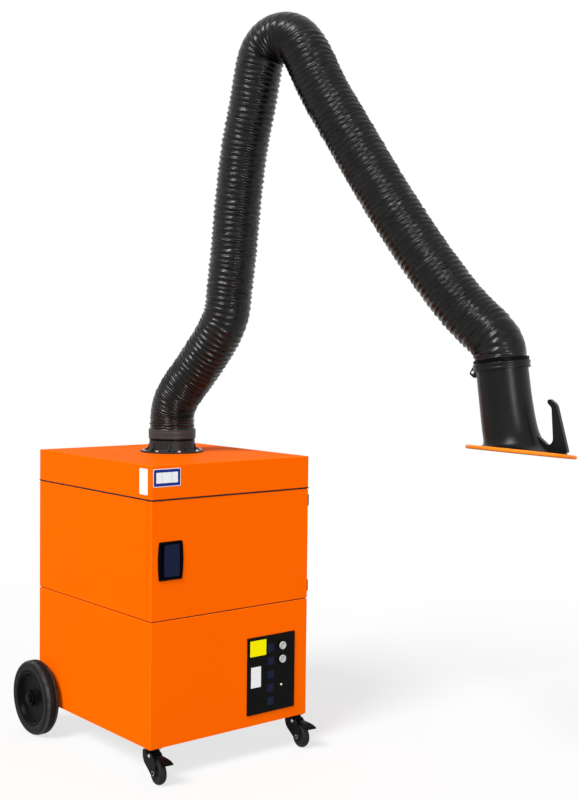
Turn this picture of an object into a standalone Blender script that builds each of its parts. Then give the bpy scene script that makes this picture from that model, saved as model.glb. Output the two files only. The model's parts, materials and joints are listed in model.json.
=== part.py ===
"""Mobile welding fume extractor: wheeled filter cabinet with a hose arm and a hood.

Metres, +Z up. The origin is the middle of the cabinet's underside, the front faces -Y.
The arm is modelled in its own frame: +X along the arm's reach, origin at its flange.
"""
import math

import bmesh
import bpy
from mathutils import Matrix, Vector

# Fits and general values
FIT = 0.0003                # gap left between pieces that touch
RUNNING_FIT = 0.0004        # radial gap of a turning piece, beyond its facets
SLIDE_FIT = 0.0015          # gap round pieces that slide or swing past each other
OVERRUN = 0.01              # how far a cutter runs past what it cuts
WHEEL_SIDES = 32
ROUND_SIDES = 24
CASTER_WHEEL_SIDES = 18
SMALL_SIDES = 12
TUBE_RESOLUTION = 2

# Cabinet
WIDTH = 0.620
DEPTH = 0.700
BASE_HEIGHT = 0.3885
MIDDLE_HEIGHT = 0.366
LID_HEIGHT = 0.1055
SEAM = 0.003                # shadow gap between the stacked boxes
SHEET = 0.002
FLANGE_LIP = 0.028          # inward folds of the sheet boxes
SEAM_SETBACK = 0.005
FLOOR_THICKNESS = 0.003

# Door, seal, hinges and latch
DOOR_THICKNESS = 0.024
DOOR_GAP = 0.002
SEAL_WIDTH = 0.018
SEAL_INSET = 0.005
HINGE_HEIGHT = 0.038
HINGE_UPPER_RISE = 0.327    # hinge centres above the middle box's bottom
HINGE_LOWER_RISE = 0.040
HINGE_LEAF_LENGTH = 0.030
HINGE_LEAF_THICKNESS = 0.002
HINGE_KNUCKLE_RADIUS = 0.005
HINGE_PIN_RADIUS = 0.0025
HINGE_STAND_OFF = 0.0015
LATCH_WIDTH = 0.092
LATCH_HEIGHT = 0.122
LATCH_EDGE = 0.023          # door's free edge to the latch bezel
LATCH_RISE = 0.1815         # latch centre above the middle box's bottom
LATCH_BEZEL = 0.004
LATCH_RIM = 0.008
LATCH_WALL = 0.0025
LATCH_CUP_DEPTH = 0.0145
LATCH_CORNER = 0.016
PADDLE_THICKNESS = 0.003
PADDLE_RECESS = 0.003
PADDLE_FINGER_GAP = 0.014
PADDLE_PIVOT_RADIUS = 0.0022
BOLT_LENGTH = 0.050
BOLT_DEPTH = 0.009
BOLT_HEIGHT = 0.018
BOLT_GUIDE_WALL = 0.003
BOLT_GUIDE_LENGTH = 0.034
BOLT_CLEARANCE = 0.0015     # bolt tip to the frame's lip while the paddle rests

# Controls
PANEL_WIDTH = 0.197
PANEL_HEIGHT = 0.253
PANEL_THICKNESS = 0.004
PANEL_CORNER = 0.006
PANEL_CENTRE_X = 0.157
PANEL_CENTRE_Z = 0.162
PANEL_MARGIN = 0.010        # overlap of the panel on the housing's cut-out
BUTTON_RADIUS = 0.0130
BUTTON_X = 0.0418           # button column from the panel's centre
BUTTON_UPPER_Z = 0.0868
BUTTON_PITCH = 0.0445
BUTTON_PROUD = 0.006
BUTTON_COLLAR = 0.003
BUTTON_COLLAR_THICKNESS = 0.003
BUTTON_STEM = 0.010
LAMP_RADIUS = 0.004
LAMP_DROP = 0.1311          # lamp below the upper button
LAMP_PROUD = 0.003
LENS_SHARE = 0.7            # lens crown to its full radius and height
CONTROL_BOX_DEPTH = 0.090

# Fan
FAN_RADIUS = 0.140
FAN_HEIGHT = 0.075
FAN_PLATE = 0.003
FAN_BLADES = 9
BLADE_THICKNESS = 0.003
BLADE_STEPS = 1
BLADE_SWEEP = 38.0
EYE_RADIUS = 0.082
HUB_RADIUS = 0.022
MOTOR_RADIUS = 0.075
MOTOR_LENGTH = 0.150
MOTOR_SHIELD_SHARE = 0.85   # end shield's radius to the motor's
SHAFT_RADIUS = 0.010
MOUNT_WIDTH = 0.240
MOUNT_DEPTH = 0.200
MOUNT_PLATE = 0.004
MOUNT_FOOT = 0.030
INLET_CLEARANCE = 0.004
INLET_LIP = 0.024
FAN_Y = 0.020
FAN_TOP_GAP = 0.022         # impeller's shroud below the partition plate

# Exhaust, gland and push handle at the back
GRILLE_WIDTH = 0.360
GRILLE_HEIGHT = 0.180
GRILLE_THICKNESS = 0.003
GRILLE_BORDER = 0.020
GRILLE_SLOTS = 8
GRILLE_SLOT_SHARE = 0.5
GRILLE_RISE = 0.240
GLAND_RADIUS = 0.014
GLAND_TIP_RADIUS = 0.010
GLAND_LENGTH = 0.022
GLAND_BORE = 0.006
GLAND_EDGE = 0.080
GLAND_RISE = 0.090
PUSH_WIDTH = 0.440
PUSH_REACH = 0.070
PUSH_RADIUS = 0.0125
PUSH_RISE = 0.250           # above the middle box's bottom
PUSH_FOOT_RADIUS = 0.024
PUSH_FOOT_THICKNESS = 0.004
PUSH_CORNER_STEPS = 4

# Filter
SCREEN_THICKNESS = 0.006
CASSETTE_SIDE_GAP = 0.050   # cassette to the cabinet's outer side
CASSETTE_END_GAP = 0.0547   # cassette to the sheet in front and behind
CASSETTE_HEIGHT = 0.220
CASSETTE_WALL = 0.002
SHELF_THICKNESS = 0.003
SHELF_LIP = 0.070
SHELF_RISE = 0.060
PLEATS = 16
PLEAT_FOLD = 0.025          # height of the paper's section, cut upright through a steep pleat

# Rear wheels
AXLE_RADIUS = 0.010
AXLE_HEIGHT = 0.021
AXLE_INSET = 0.050          # axle to the cabinet's back
AXLE_HEAD = 0.004
AXLE_EAR = 0.006
AXLE_EAR_WIDTH = 0.060
TYRE_RADIUS = 0.126
TYRE_INNER_RADIUS = 0.0925
TYRE_WIDTH = 0.050
TYRE_SHOULDER = 0.012
TYRE_BEVEL_SHARE = 0.3      # how far the middle of the shoulder lies inside its corner
WHEEL_STAND_OFF = 0.015
RIM_RECESS = 0.012
RIM_WEB = 0.010
RIM_HUB_RADIUS = 0.024

# Front casters
CASTER_INSET_X = 0.026
CASTER_INSET_Y = 0.028
CASTER_TRAIL_ANGLE = -96.0
CASTER_TRAIL = 0.042
CASTER_PLATE_SIDE = 0.046
CASTER_PLATE = 0.003
CASTER_RACE_RADIUS = 0.021
CASTER_RACE_HEIGHT = 0.008
CASTER_HEAD_RADIUS = 0.024
CASTER_HEAD_THICKNESS = 0.004
CASTER_WHEEL_RADIUS = 0.0375
CASTER_WHEEL_WIDTH = 0.024
CASTER_TREAD_SHARE = 0.6    # flat of the tread to the wheel's width
CASTER_EDGE_SHARE = 0.93    # radius at the wheel's edge to its full radius
CASTER_CHEEK = 0.0025
CASTER_CHEEK_GAP = 0.0025
CASTER_CHEEK_WIDTH = 0.026
CASTER_AXLE_RADIUS = 0.004
CASTER_AXLE_HEAD_RADIUS = 0.007
CASTER_AXLE_HEAD = 0.003
PEDAL_WIDTH = 0.022
PEDAL_THICKNESS = 0.003
PEDAL_PIVOT_RADIUS = 0.0035
PEDAL_PIVOT_REACH = 0.026
PEDAL_PIVOT_DROP = 0.0215
PEDAL_FLAT_END = 0.066
PEDAL_TIP_REACH = 0.098
PEDAL_TIP_DROP = 0.044

# Arm flange and turntable
ARM_X = 0.028
ARM_Y = 0.041
ARM_AZIMUTH = -75.0
ARM_FLANGE_RADIUS = 0.108
ARM_FLANGE_THICKNESS = 0.006
COLLAR_RADIUS = 0.0775
COLLAR_BORE = 0.0710
COLLAR_HEIGHT = 0.040
GUSSETS = 8
GUSSET_THICKNESS = 0.004
GUSSET_HEIGHT = 0.022
GUSSET_REACH = 0.020
SLEEVE_WALL = 0.0025
SLEEVE_DEPTH = 0.020
SPIGOT_HEIGHT = 0.045
CLAMP_WIDTH = 0.016
CLAMP_THICKNESS = 0.002
CLAMP_RISE = 0.014
CLAMP_LUG = 0.010

# Hose
HOSE_RADIUS = 0.0785
HOSE_ROOT_SHARE = 0.945
HOSE_BORE_RADIUS = 0.0670
HOSE_RIB_PITCH = 0.0173
HOSE_BORE_PITCH = 0.040
ROUTE_STEPS = 40            # samples of the smooth route between two of its points

# Arm joints, in the arm's plane: reach and height above the lid
SHOULDER = (0.140, 0.310)
ELBOW = (0.415, 1.358)
WRIST = (1.2182, 0.370)

# Hose route: distance along the link, and offset to the right of the link seen along the hose
BASE_STRAIGHT = 0.135       # the hose stands upright to this height above the lid
BASE_ROUTE = ((0.014, 0.175), (0.052, 0.225), (0.108, 0.287))
LOWER_ROUTE = (
    (0.156, 0.048), (0.260, 0.039), (0.377, 0.024), (0.531, 0.000), (0.711, -0.022), (0.850, -0.026),
)
CROWN_OFFSET = (0.032, -0.120)      # centre of the hose's arc over the elbow, from the elbow
CROWN_RADIUS = 0.095
CROWN_ANGLES = (163.0, 37.0)
CROWN_STEPS = 6
CROWN_EXIT = (0.192, -0.200)
FOREARM_ROUTE = (
    (0.478, -0.003), (0.628, 0.011), (0.783, 0.021), (0.936, 0.026), (1.090, 0.023), (1.146, 0.017),
)
WRIST_RADIUS = 0.095
WRIST_ANGLE = 40.0
WRIST_STEPS = 3
HOSE_END_STRAIGHT = 0.008   # the hose's bore runs straight this far from an end
LOWER_HOSE_START = 0.221    # where the stretches carried by the two links begin and end
LOWER_HOSE_END = 0.860
FOREARM_HOSE_START = 0.479
FOREARM_HOSE_END = 1.125

# Links inside the hose
LINK_RADIUS = 0.010
LINK_EYE_RADIUS = 0.020
PIVOT_RADIUS = 0.006
PIVOT_HEAD_RADIUS = 0.014
PIVOT_HEAD = 0.005
CROSS_BAR_WIDTH = 0.044
POST_FOOT = -0.030          # the shoulder post stands this far from the turntable's middle
CROSS_BAR_THICKNESS = 0.006

# Hood
NECK_TILT = 7.5             # degrees that the neck leans outwards
WRIST_DROP = 0.066          # wrist pivot to the top of the hood's neck
WRIST_RING_HEIGHT = 0.031
HOOD_WALL = 0.003
WRIST_RING_RADIUS = 0.0790
NECK_RADIUS = 0.0735
HOOD_SIDES = 32
# Per ring of the hood: shares of the drop, of the growth, of the sideways shift and of the slope
FLARE_SHARES = (
    (0.0, 0.0, 0.0, 0.0), (0.4, 0.016, 0.04, 0.0), (0.7, 0.057, 0.15, 0.0),
    (0.855, 0.135, 0.37, 0.3), (0.95, 0.38, 0.66, 0.8), (1.0, 1.0, 1.0, 1.0),
)
RIM_CENTRE_X = 0.0298
RIM_DROP = 0.236
RIM_SLOPE = 9.5             # degrees that the rim falls along the arm's reach
RIM_LEAN = 6.5              # degrees that it leans to the side
RIM_HALF_LENGTH = 0.145
RIM_HALF_WIDTH = 0.119
RIM_TRIM_RADIUS = 0.0048
HANDLE_THICKNESS = 0.016
HANDLE_NOTCH = (0.1182, -0.2211)    # reach and height from the top of the neck
HANDLE_INNER_FOOT = (0.1339, -0.2098)
HANDLE_INNER_TOP = (0.1401, -0.1204)
HANDLE_HOOK_UNDER = (0.1293, -0.1090)
HANDLE_HOOK_TIP = (0.1279, -0.1007)
HANDLE_HOOK_TOP = (0.1350, -0.0969)
HANDLE_SHOULDER = (0.1551, -0.1146)
HANDLE_HEEL = (0.1716, -0.2570)
HANDLE_TOE = (0.0850, -0.2337)
HANDLE_NECK_SIDE = (0.0900, -0.2050)

# Worked out from the sizes above
TUBE_SIDES = 2 * (TUBE_RESOLUTION + 2)
BASE_TOP = BASE_HEIGHT
MIDDLE_BOTTOM = BASE_TOP + SEAM
MIDDLE_TOP = MIDDLE_BOTTOM + MIDDLE_HEIGHT
LID_BOTTOM = MIDDLE_TOP + SEAM
LID_TOP = LID_BOTTOM + LID_HEIGHT
CUFF_LOW = COLLAR_HEIGHT + FIT
CUFF_HIGH = CUFF_LOW + CROSS_BAR_THICKNESS
HALF_WIDTH = WIDTH / 2
FRONT = -DEPTH / 2
BACK = DEPTH / 2
FRAME_FRONT = FRONT + DOOR_THICKNESS + DOOR_GAP
AXLE_Y = BACK - AXLE_INSET
FLOOR_LEVEL = AXLE_HEIGHT - TYRE_RADIUS
HINGE_X = HALF_WIDTH + HINGE_STAND_OFF + HINGE_KNUCKLE_RADIUS
HINGE_Y = FRONT + DOOR_THICKNESS / 2
ARM_FRAME = (
    Matrix.Translation((ARM_X, ARM_Y, LID_TOP)) @ Matrix.Rotation(math.radians(ARM_AZIMUTH), 4, "Z")
)

UPRIGHT = (math.radians(90), 0, 0)          # outline's X and Y become X and Z
FACING_FRONT = (math.radians(90), 0, 0)     # turned shape's +Z looks along -Y
FACING_BACK = (math.radians(-90), 0, 0)     # and along +Y
FACING_RIGHT = (0, math.radians(90), 0)     # turned shape's +Z looks along +X

for old in list(bpy.data.objects):
    bpy.data.objects.remove(old, do_unlink=True)

PARTS = bpy.data.collections.new("welding_fume_extractor")
CUTTERS = bpy.data.collections.new("cutters")
bpy.context.scene.collection.children.link(PARTS)
bpy.context.scene.collection.children.link(CUTTERS)


def material(name, colour, roughness, metallic=0.0):
    """A Principled material with a plain colour."""
    made = bpy.data.materials.new(name)
    made.use_nodes = True
    shader = made.node_tree.nodes["Principled BSDF"]
    shader.inputs["Base Color"].default_value = (*colour, 1.0)
    shader.inputs["Roughness"].default_value = roughness
    shader.inputs["Metallic"].default_value = metallic
    made.diffuse_color = (*colour, 1.0)
    return made


ORANGE = material("orange_powder_coat", (1.0, 0.145, 0.0), 0.4)
BLACK_PLASTIC = material("black_plastic", (0.02, 0.02, 0.022), 0.4)
BLACK_FABRIC = material("black_hose_fabric", (0.015, 0.015, 0.016), 0.35)
BLACK_RUBBER = material("black_rubber", (0.02, 0.02, 0.02), 0.7)
BLACK_STEEL = material("black_steel", (0.03, 0.03, 0.032), 0.45, 0.6)
ZINC = material("zinc_plated_steel", (0.72, 0.73, 0.74), 0.35, 1.0)
GALVANISED = material("galvanised_sheet", (0.6, 0.62, 0.63), 0.5, 1.0)
ALUMINIUM = material("aluminium", (0.78, 0.79, 0.8), 0.4, 1.0)
MOTOR_GREY = material("grey_motor_paint", (0.25, 0.27, 0.3), 0.5)
FILTER_WHITE = material("filter_media", (0.85, 0.84, 0.8), 0.9)
BUTTON_GREY = material("light_grey_plastic", (0.7, 0.72, 0.74), 0.35)
LAMP_GREEN = material("green_lens", (0.05, 0.35, 0.1), 0.2)


def add_object(name, mesh, look=None):
    """Link a mesh as a part, or as a cutter when it has no look."""
    piece = bpy.data.objects.new(name, mesh)
    if look is None:
        CUTTERS.objects.link(piece)
        piece.hide_render = True
        piece.display_type = "WIRE"
    else:
        PARTS.objects.link(piece)
        mesh.materials.append(look)
    return piece


def mesh_from(builder, name):
    """Run a bmesh builder and return its mesh."""
    sketch = bmesh.new()
    builder(sketch)
    mesh = bpy.data.meshes.new(name)
    sketch.to_mesh(mesh)
    sketch.free()
    return mesh


def smooth(piece, degrees=40):
    """Shade round walls smooth and keep their edges sharp."""
    piece.data.shade_smooth()
    piece.data.set_sharp_from_angle(angle=math.radians(degrees))
    return piece


def box(name, low, high, look=None):
    """A box between two corners."""
    low, high = Vector(low), Vector(high)
    size = high - low

    def build(sketch):
        bmesh.ops.create_cube(sketch, size=1.0, matrix=Matrix.Diagonal((*size, 1.0)))

    piece = add_object(name, mesh_from(build, name), look)
    piece.location = (low + high) / 2
    return piece


def folded_box(name, low, high, missing, look, wall=SHEET):
    """A sheet-metal box: a cube without some faces, thickened inwards."""
    piece = box(name, low, high, look)
    sketch = bmesh.new()
    sketch.from_mesh(piece.data)
    gone = [face for face in sketch.faces if any(face.normal.dot(Vector(way)) > 0.9 for way in missing)]
    bmesh.ops.delete(sketch, geom=gone, context="FACES_ONLY")
    sketch.to_mesh(piece.data)
    sketch.free()
    shell = piece.modifiers.new("wall", "SOLIDIFY")
    shell.thickness = wall
    shell.offset = -1
    shell.use_even_offset = True
    return piece


def rod(name, start, end, radius, look=None, sides=SMALL_SIDES):
    """A round bar between two points."""
    start, end = Vector(start), Vector(end)
    along = end - start

    def build(sketch):
        bmesh.ops.create_cone(
            sketch, cap_ends=True, segments=sides, radius1=radius, radius2=radius, depth=along.length
        )

    piece = smooth(add_object(name, mesh_from(build, name), look))
    piece.location = (start + end) / 2
    piece.rotation_mode = "QUATERNION"
    piece.rotation_quaternion = Vector((0, 0, 1)).rotation_difference(along)
    return piece


def turned(name, profile, look=None, sides=ROUND_SIDES, place=(0, 0, 0), facing=(0, 0, 0)):
    """A turned shape: (radius, height) points down the outer side, closed through the bore if any."""
    bored = profile[0][0] > 0
    mesh = bpy.data.meshes.new(name)
    edges = [(i, i + 1) for i in range(len(profile) - 1)]
    if bored:
        edges.append((len(profile) - 1, 0))
    mesh.from_pydata([(radius, 0, height) for radius, height in profile], edges, [])
    piece = add_object(name, mesh, look)
    screw = piece.modifiers.new("turn", "SCREW")
    screw.steps = sides
    screw.render_steps = sides
    screw.use_merge_vertices = True
    screw.merge_threshold = 0.00001
    screw.use_smooth_shade = False
    piece.location = place
    piece.rotation_euler = facing
    return piece


def ring_profile(inner, outer, low, high):
    """Cross-section of a plain ring."""
    return [(outer, high), (outer, low), (inner, low), (inner, high)]


def curve_mesh(name, curve, look):
    """Turn a filled curve into a closed mesh and drop the curve."""
    guide = bpy.data.objects.new(name, curve)
    CUTTERS.objects.link(guide)
    bpy.context.view_layer.update()
    mesh = bpy.data.meshes.new_from_object(guide.evaluated_get(bpy.context.evaluated_depsgraph_get()))
    sketch = bmesh.new()
    sketch.from_mesh(mesh)
    bmesh.ops.remove_doubles(sketch, verts=sketch.verts, dist=0.00001)
    bmesh.ops.recalc_face_normals(sketch, faces=sketch.faces)
    sketch.to_mesh(mesh)
    sketch.free()
    mesh.name = name
    mesh.materials.clear()
    bpy.data.objects.remove(guide, do_unlink=True)
    return add_object(name, mesh, look)


def prism(name, outline, thickness, look=None, place=(0, 0, 0), facing=(0, 0, 0)):
    """A flat outline with a thickness, centred on its own plane."""
    curve = bpy.data.curves.new(name, "CURVE")
    curve.dimensions = "2D"
    curve.fill_mode = "BOTH"
    curve.extrude = thickness / 2
    spline = curve.splines.new("POLY")
    spline.points.add(len(outline) - 1)
    for point, (across, up) in zip(spline.points, outline):
        point.co = (across, up, 0, 1)
    spline.use_cyclic_u = True
    piece = curve_mesh(name, curve, look)
    piece.location = place
    piece.rotation_euler = facing
    return piece


def tube(name, points, radius, look=None, shares=None, cyclic=False):
    """A round tube through points, its radius scaled by a share at each point."""
    curve = bpy.data.curves.new(name, "CURVE")
    curve.dimensions = "3D"
    curve.bevel_depth = radius
    curve.bevel_resolution = TUBE_RESOLUTION
    curve.use_fill_caps = not cyclic
    spline = curve.splines.new("POLY")
    spline.points.add(len(points) - 1)
    for number, (point, place) in enumerate(zip(spline.points, points)):
        point.co = (*place, 1)
        if shares:
            point.radius = shares[number]
    spline.use_cyclic_u = cyclic
    return curve_mesh(name, curve, look)


def combine(target, tools, operation):
    """Boolean each tool with the target; the tools become hidden cutters."""
    for tool in tools:
        step = target.modifiers.new(tool.name, "BOOLEAN")
        step.operation = operation
        step.solver = "EXACT"
        step.object = tool
    return target


def cut(target, *tools):
    """Cut the tools out of the target."""
    return combine(target, tools, "DIFFERENCE")


def join(target, *tools):
    """Make the tools one body with the target."""
    return combine(target, tools, "UNION")


def pivot(name, place, parent=None, turn=None):
    """An empty on a joint's axis."""
    empty = bpy.data.objects.new(name, None)
    CUTTERS.objects.link(empty)
    empty.empty_display_size = HUB_RADIUS
    world = Matrix.Translation(place)
    if turn is not None:
        world = world @ turn
    if parent is not None:
        empty.parent = parent
        bpy.context.view_layer.update()
        empty.matrix_parent_inverse = parent.matrix_world.inverted()
    empty.matrix_basis = world
    bpy.context.view_layer.update()
    return empty


def hang(joint, *pieces):
    """Parent pieces to a joint's empty where they stand."""
    bpy.context.view_layer.update()
    for piece in pieces:
        piece.parent = joint
        piece.matrix_parent_inverse = joint.matrix_world.inverted()


def into_frame(frame, *pieces):
    """Move pieces that were made in a local frame to their place in the world."""
    for piece in pieces:
        bpy.context.view_layer.update()
        piece.matrix_basis = frame @ piece.matrix_basis


def bore_radius(shaft, sides=SMALL_SIDES):
    """Radius of a faceted bore that a faceted shaft turns in."""
    return (shaft + RUNNING_FIT) / math.cos(math.pi / sides)


def rounded_rectangle(width, height, corner, steps=4):
    """Outline of a rectangle with round corners."""
    points = []
    for number, (side, end) in enumerate(((1, 1), (-1, 1), (-1, -1), (1, -1))):
        centre = Vector((side * (width / 2 - corner), end * (height / 2 - corner)))
        for step in range(steps + 1):
            angle = math.radians(90) * (number + step / steps)
            points.append(centre + corner * Vector((math.cos(angle), math.sin(angle))))
    return [tuple(point) for point in points]


def base_housing():
    """Lower box: walls and top fold, with cut-outs for the panel, axle, exhaust and cable."""
    housing = folded_box(
        "base_housing", (-HALF_WIDTH, FRONT, 0), (HALF_WIDTH, BACK, BASE_TOP), [(0, 0, -1)], ORANGE
    )
    inner_x = HALF_WIDTH - FLANGE_LIP
    top = box(
        "base_top_opening", (-inner_x, FRONT + FLANGE_LIP, BASE_TOP - OVERRUN),
        (inner_x, BACK - FLANGE_LIP, BASE_TOP + OVERRUN),
    )
    half_panel = PANEL_WIDTH / 2 - PANEL_MARGIN
    half_height = PANEL_HEIGHT / 2 - PANEL_MARGIN
    panel = box(
        "panel_opening",
        (PANEL_CENTRE_X - half_panel, FRONT - OVERRUN, PANEL_CENTRE_Z - half_height),
        (PANEL_CENTRE_X + half_panel, FRONT + OVERRUN, PANEL_CENTRE_Z + half_height),
    )
    grille_x = GRILLE_WIDTH / 2 - GRILLE_BORDER / 2
    grille_z = GRILLE_HEIGHT / 2 - GRILLE_BORDER / 2
    exhaust = box(
        "exhaust_opening", (-grille_x, BACK - OVERRUN, GRILLE_RISE - grille_z),
        (grille_x, BACK + OVERRUN, GRILLE_RISE + grille_z),
    )
    axle = rod(
        "axle_holes", (-HALF_WIDTH - OVERRUN, AXLE_Y, AXLE_HEIGHT),
        (HALF_WIDTH + OVERRUN, AXLE_Y, AXLE_HEIGHT), bore_radius(AXLE_RADIUS),
    )
    gland_x = -HALF_WIDTH + GLAND_EDGE
    gland = rod(
        "gland_hole", (gland_x, BACK - OVERRUN, GLAND_RISE), (gland_x, BACK + OVERRUN, GLAND_RISE),
        GLAND_RADIUS - GLAND_BORE / 2,
    )
    cut(housing, top, panel, exhaust, axle, gland)


def base_floor():
    """Floor plate with the two ears that carry the axle."""
    edge = HALF_WIDTH - SHEET - FIT
    floor = box(
        "base_floor", (-edge, FRONT + SHEET + FIT, 0), (edge, BACK - SHEET - FIT, FLOOR_THICKNESS), GALVANISED
    )
    ear_top = AXLE_HEIGHT + 2 * AXLE_RADIUS
    for side, name in ((-1, "left"), (1, "right")):
        outer = side * (edge - AXLE_EAR)
        inner = outer - side * AXLE_EAR
        ear = box(
            f"axle_ear_{name}", (min(outer, inner), AXLE_Y - AXLE_EAR_WIDTH / 2, FLOOR_THICKNESS / 2),
            (max(outer, inner), AXLE_Y + AXLE_EAR_WIDTH / 2, ear_top),
        )
        join(floor, ear)
    hole = rod(
        "ear_holes", (-HALF_WIDTH, AXLE_Y, AXLE_HEIGHT), (HALF_WIDTH, AXLE_Y, AXLE_HEIGHT),
        bore_radius(AXLE_RADIUS),
    )
    cut(floor, hole)


def partition_plate():
    """Plate between the boxes, set back in the seam, with the fan's inlet hole."""
    edge = HALF_WIDTH - SEAM_SETBACK
    plate = box(
        "partition_plate", (-edge, FRONT + SEAM_SETBACK, BASE_TOP + FIT),
        (edge, BACK - SEAM_SETBACK, MIDDLE_BOTTOM - FIT), GALVANISED,
    )
    hole = rod(
        "partition_hole", (0, FAN_Y, BASE_TOP - OVERRUN), (0, FAN_Y, MIDDLE_BOTTOM + OVERRUN),
        EYE_RADIUS + FIT, sides=ROUND_SIDES,
    )
    cut(plate, hole)


def filter_housing():
    """Middle box with folds round its bottom, top and door opening."""
    housing = folded_box(
        "filter_housing", (-HALF_WIDTH, FRAME_FRONT, MIDDLE_BOTTOM), (HALF_WIDTH, BACK, MIDDLE_TOP), [],
        ORANGE
    )
    inner_x = HALF_WIDTH - FLANGE_LIP
    for name, level in (("bottom", MIDDLE_BOTTOM), ("top", MIDDLE_TOP)):
        opening = box(
            f"middle_{name}_opening", (-inner_x, FRAME_FRONT + FLANGE_LIP, level - OVERRUN),
            (inner_x, BACK - FLANGE_LIP, level + OVERRUN),
        )
        cut(housing, opening)
    door_opening = box(
        "door_opening", (-inner_x, FRAME_FRONT - OVERRUN, MIDDLE_BOTTOM + FLANGE_LIP),
        (inner_x, FRAME_FRONT + OVERRUN, MIDDLE_TOP - FLANGE_LIP),
    )
    cut(housing, door_opening)


def lid():
    """Top cover with the duct's hole, and the gasket frame that fills the seam below it."""
    cover = folded_box(
        "lid", (-HALF_WIDTH, FRONT, LID_BOTTOM), (HALF_WIDTH, BACK, LID_TOP), [], ORANGE
    )
    inner_x = HALF_WIDTH - FLANGE_LIP
    bottom = box(
        "lid_bottom_opening", (-inner_x, FRONT + FLANGE_LIP, LID_BOTTOM - OVERRUN),
        (inner_x, BACK - FLANGE_LIP, LID_BOTTOM + OVERRUN),
    )
    duct = rod(
        "lid_duct_hole", (ARM_X, ARM_Y, LID_TOP - OVERRUN), (ARM_X, ARM_Y, LID_TOP + OVERRUN),
        COLLAR_BORE, sides=ROUND_SIDES,
    )
    cut(cover, bottom, duct)
    edge = HALF_WIDTH - SEAM_SETBACK
    gasket = box(
        "lid_gasket", (-edge, FRAME_FRONT + SEAM_SETBACK, MIDDLE_TOP + FIT),
        (edge, BACK - SEAM_SETBACK, LID_BOTTOM - FIT), BLACK_RUBBER,
    )
    inside = box(
        "gasket_opening", (-inner_x, FRAME_FRONT + FLANGE_LIP, MIDDLE_TOP - OVERRUN),
        (inner_x, BACK - FLANGE_LIP, LID_BOTTOM + OVERRUN),
    )
    cut(gasket, inside)


def filter_set():
    """Shelf, pleated cassette and the spark screen on top of it."""
    edge = HALF_WIDTH - SHEET - FIT
    shelf_low = MIDDLE_BOTTOM + SHELF_RISE
    shelf_high = shelf_low + SHELF_THICKNESS
    front = FRAME_FRONT + SHEET + FIT
    back = BACK - SHEET - FIT
    shelf = box("filter_shelf", (-edge, front, shelf_low), (edge, back, shelf_high), GALVANISED)
    shelf_hole = box(
        "shelf_opening", (-edge + SHELF_LIP, front + SHELF_LIP, shelf_low - OVERRUN),
        (edge - SHELF_LIP, back - SHELF_LIP, shelf_high + OVERRUN),
    )
    cut(shelf, shelf_hole)

    middle = (front + back) / 2
    low = shelf_high + FIT
    high = low + CASSETTE_HEIGHT
    outer_x = HALF_WIDTH - CASSETTE_SIDE_GAP
    outer_y = (back - front) / 2 - CASSETTE_END_GAP
    frame = box(
        "filter_frame", (-outer_x, middle - outer_y, low), (outer_x, middle + outer_y, high), GALVANISED
    )
    half_x = outer_x - CASSETTE_WALL
    half_y = outer_y - CASSETTE_WALL
    inside = box(
        "cassette_inside", (-half_x, middle - half_y, low - OVERRUN),
        (half_x, middle + half_y, high + OVERRUN)
    )
    cut(frame, inside)

    media_x = half_x - FIT
    pitch = 2 * media_x / PLEATS
    media_low = low + SCREEN_THICKNESS / 2 + PLEAT_FOLD
    media_high = high - SCREEN_THICKNESS / 2
    crest = [
        (-media_x + number * pitch, media_high if number % 2 else media_low) for number in range(PLEATS + 1)
    ]
    root = [(across, up - PLEAT_FOLD) for across, up in reversed(crest)]
    prism(
        "filter_media", crest + root, 2 * (half_y - FIT), FILTER_WHITE,
        (0, middle, 0), UPRIGHT,
    )

    box(
        "spark_screen", (-outer_x, middle - outer_y, high + FIT),
        (outer_x, middle + outer_y, high + FIT + SCREEN_THICKNESS), ALUMINIUM,
    )


def hinge(name, level):
    """A lift-off hinge: a leaf with pin on the wall and a leaf with the middle knuckle on the door."""
    low = level - HINGE_HEIGHT / 2
    high = level + HINGE_HEIGHT / 2
    third = HINGE_HEIGHT / 3
    wall_face = HALF_WIDTH + FIT
    leaf_outer = wall_face + HINGE_LEAF_THICKNESS
    leaf = box(
        f"hinge_{name}_leaf", (wall_face, FRAME_FRONT, low),
        (leaf_outer, FRAME_FRONT + HINGE_LEAF_LENGTH, high), BLACK_STEEL,
    )
    for number, bottom in enumerate((low, high - third)):
        knuckle = rod(
            f"hinge_{name}_fixed_knuckle_{number}", (HINGE_X, HINGE_Y, bottom),
            (HINGE_X, HINGE_Y, bottom + third - FIT), HINGE_KNUCKLE_RADIUS,
        )
        arm = box(
            f"hinge_{name}_arm_{number}", (wall_face, HINGE_Y, bottom),
            (HINGE_X, FRAME_FRONT + HINGE_LEAF_THICKNESS, bottom + third - FIT),
        )
        join(leaf, knuckle, arm)
    pin = rod(f"hinge_{name}_pin", (HINGE_X, HINGE_Y, low), (HINGE_X, HINGE_Y, high - FIT), HINGE_PIN_RADIUS)
    join(leaf, pin)

    moving = rod(
        f"hinge_{name}_knuckle", (HINGE_X, HINGE_Y, low + third), (HINGE_X, HINGE_Y, high - third - FIT),
        HINGE_KNUCKLE_RADIUS, BLACK_STEEL,
    )
    door_leaf = box(
        f"hinge_{name}_door_leaf", (wall_face, FRONT + FIT, low + third),
        (leaf_outer, FRONT + DOOR_THICKNESS - FIT, high - third - FIT),
    )
    bore = rod(
        f"hinge_{name}_bore", (HINGE_X, HINGE_Y, low), (HINGE_X, HINGE_Y, high), bore_radius(HINGE_PIN_RADIUS)
    )
    join(moving, door_leaf)
    cut(moving, bore)
    return moving


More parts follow.
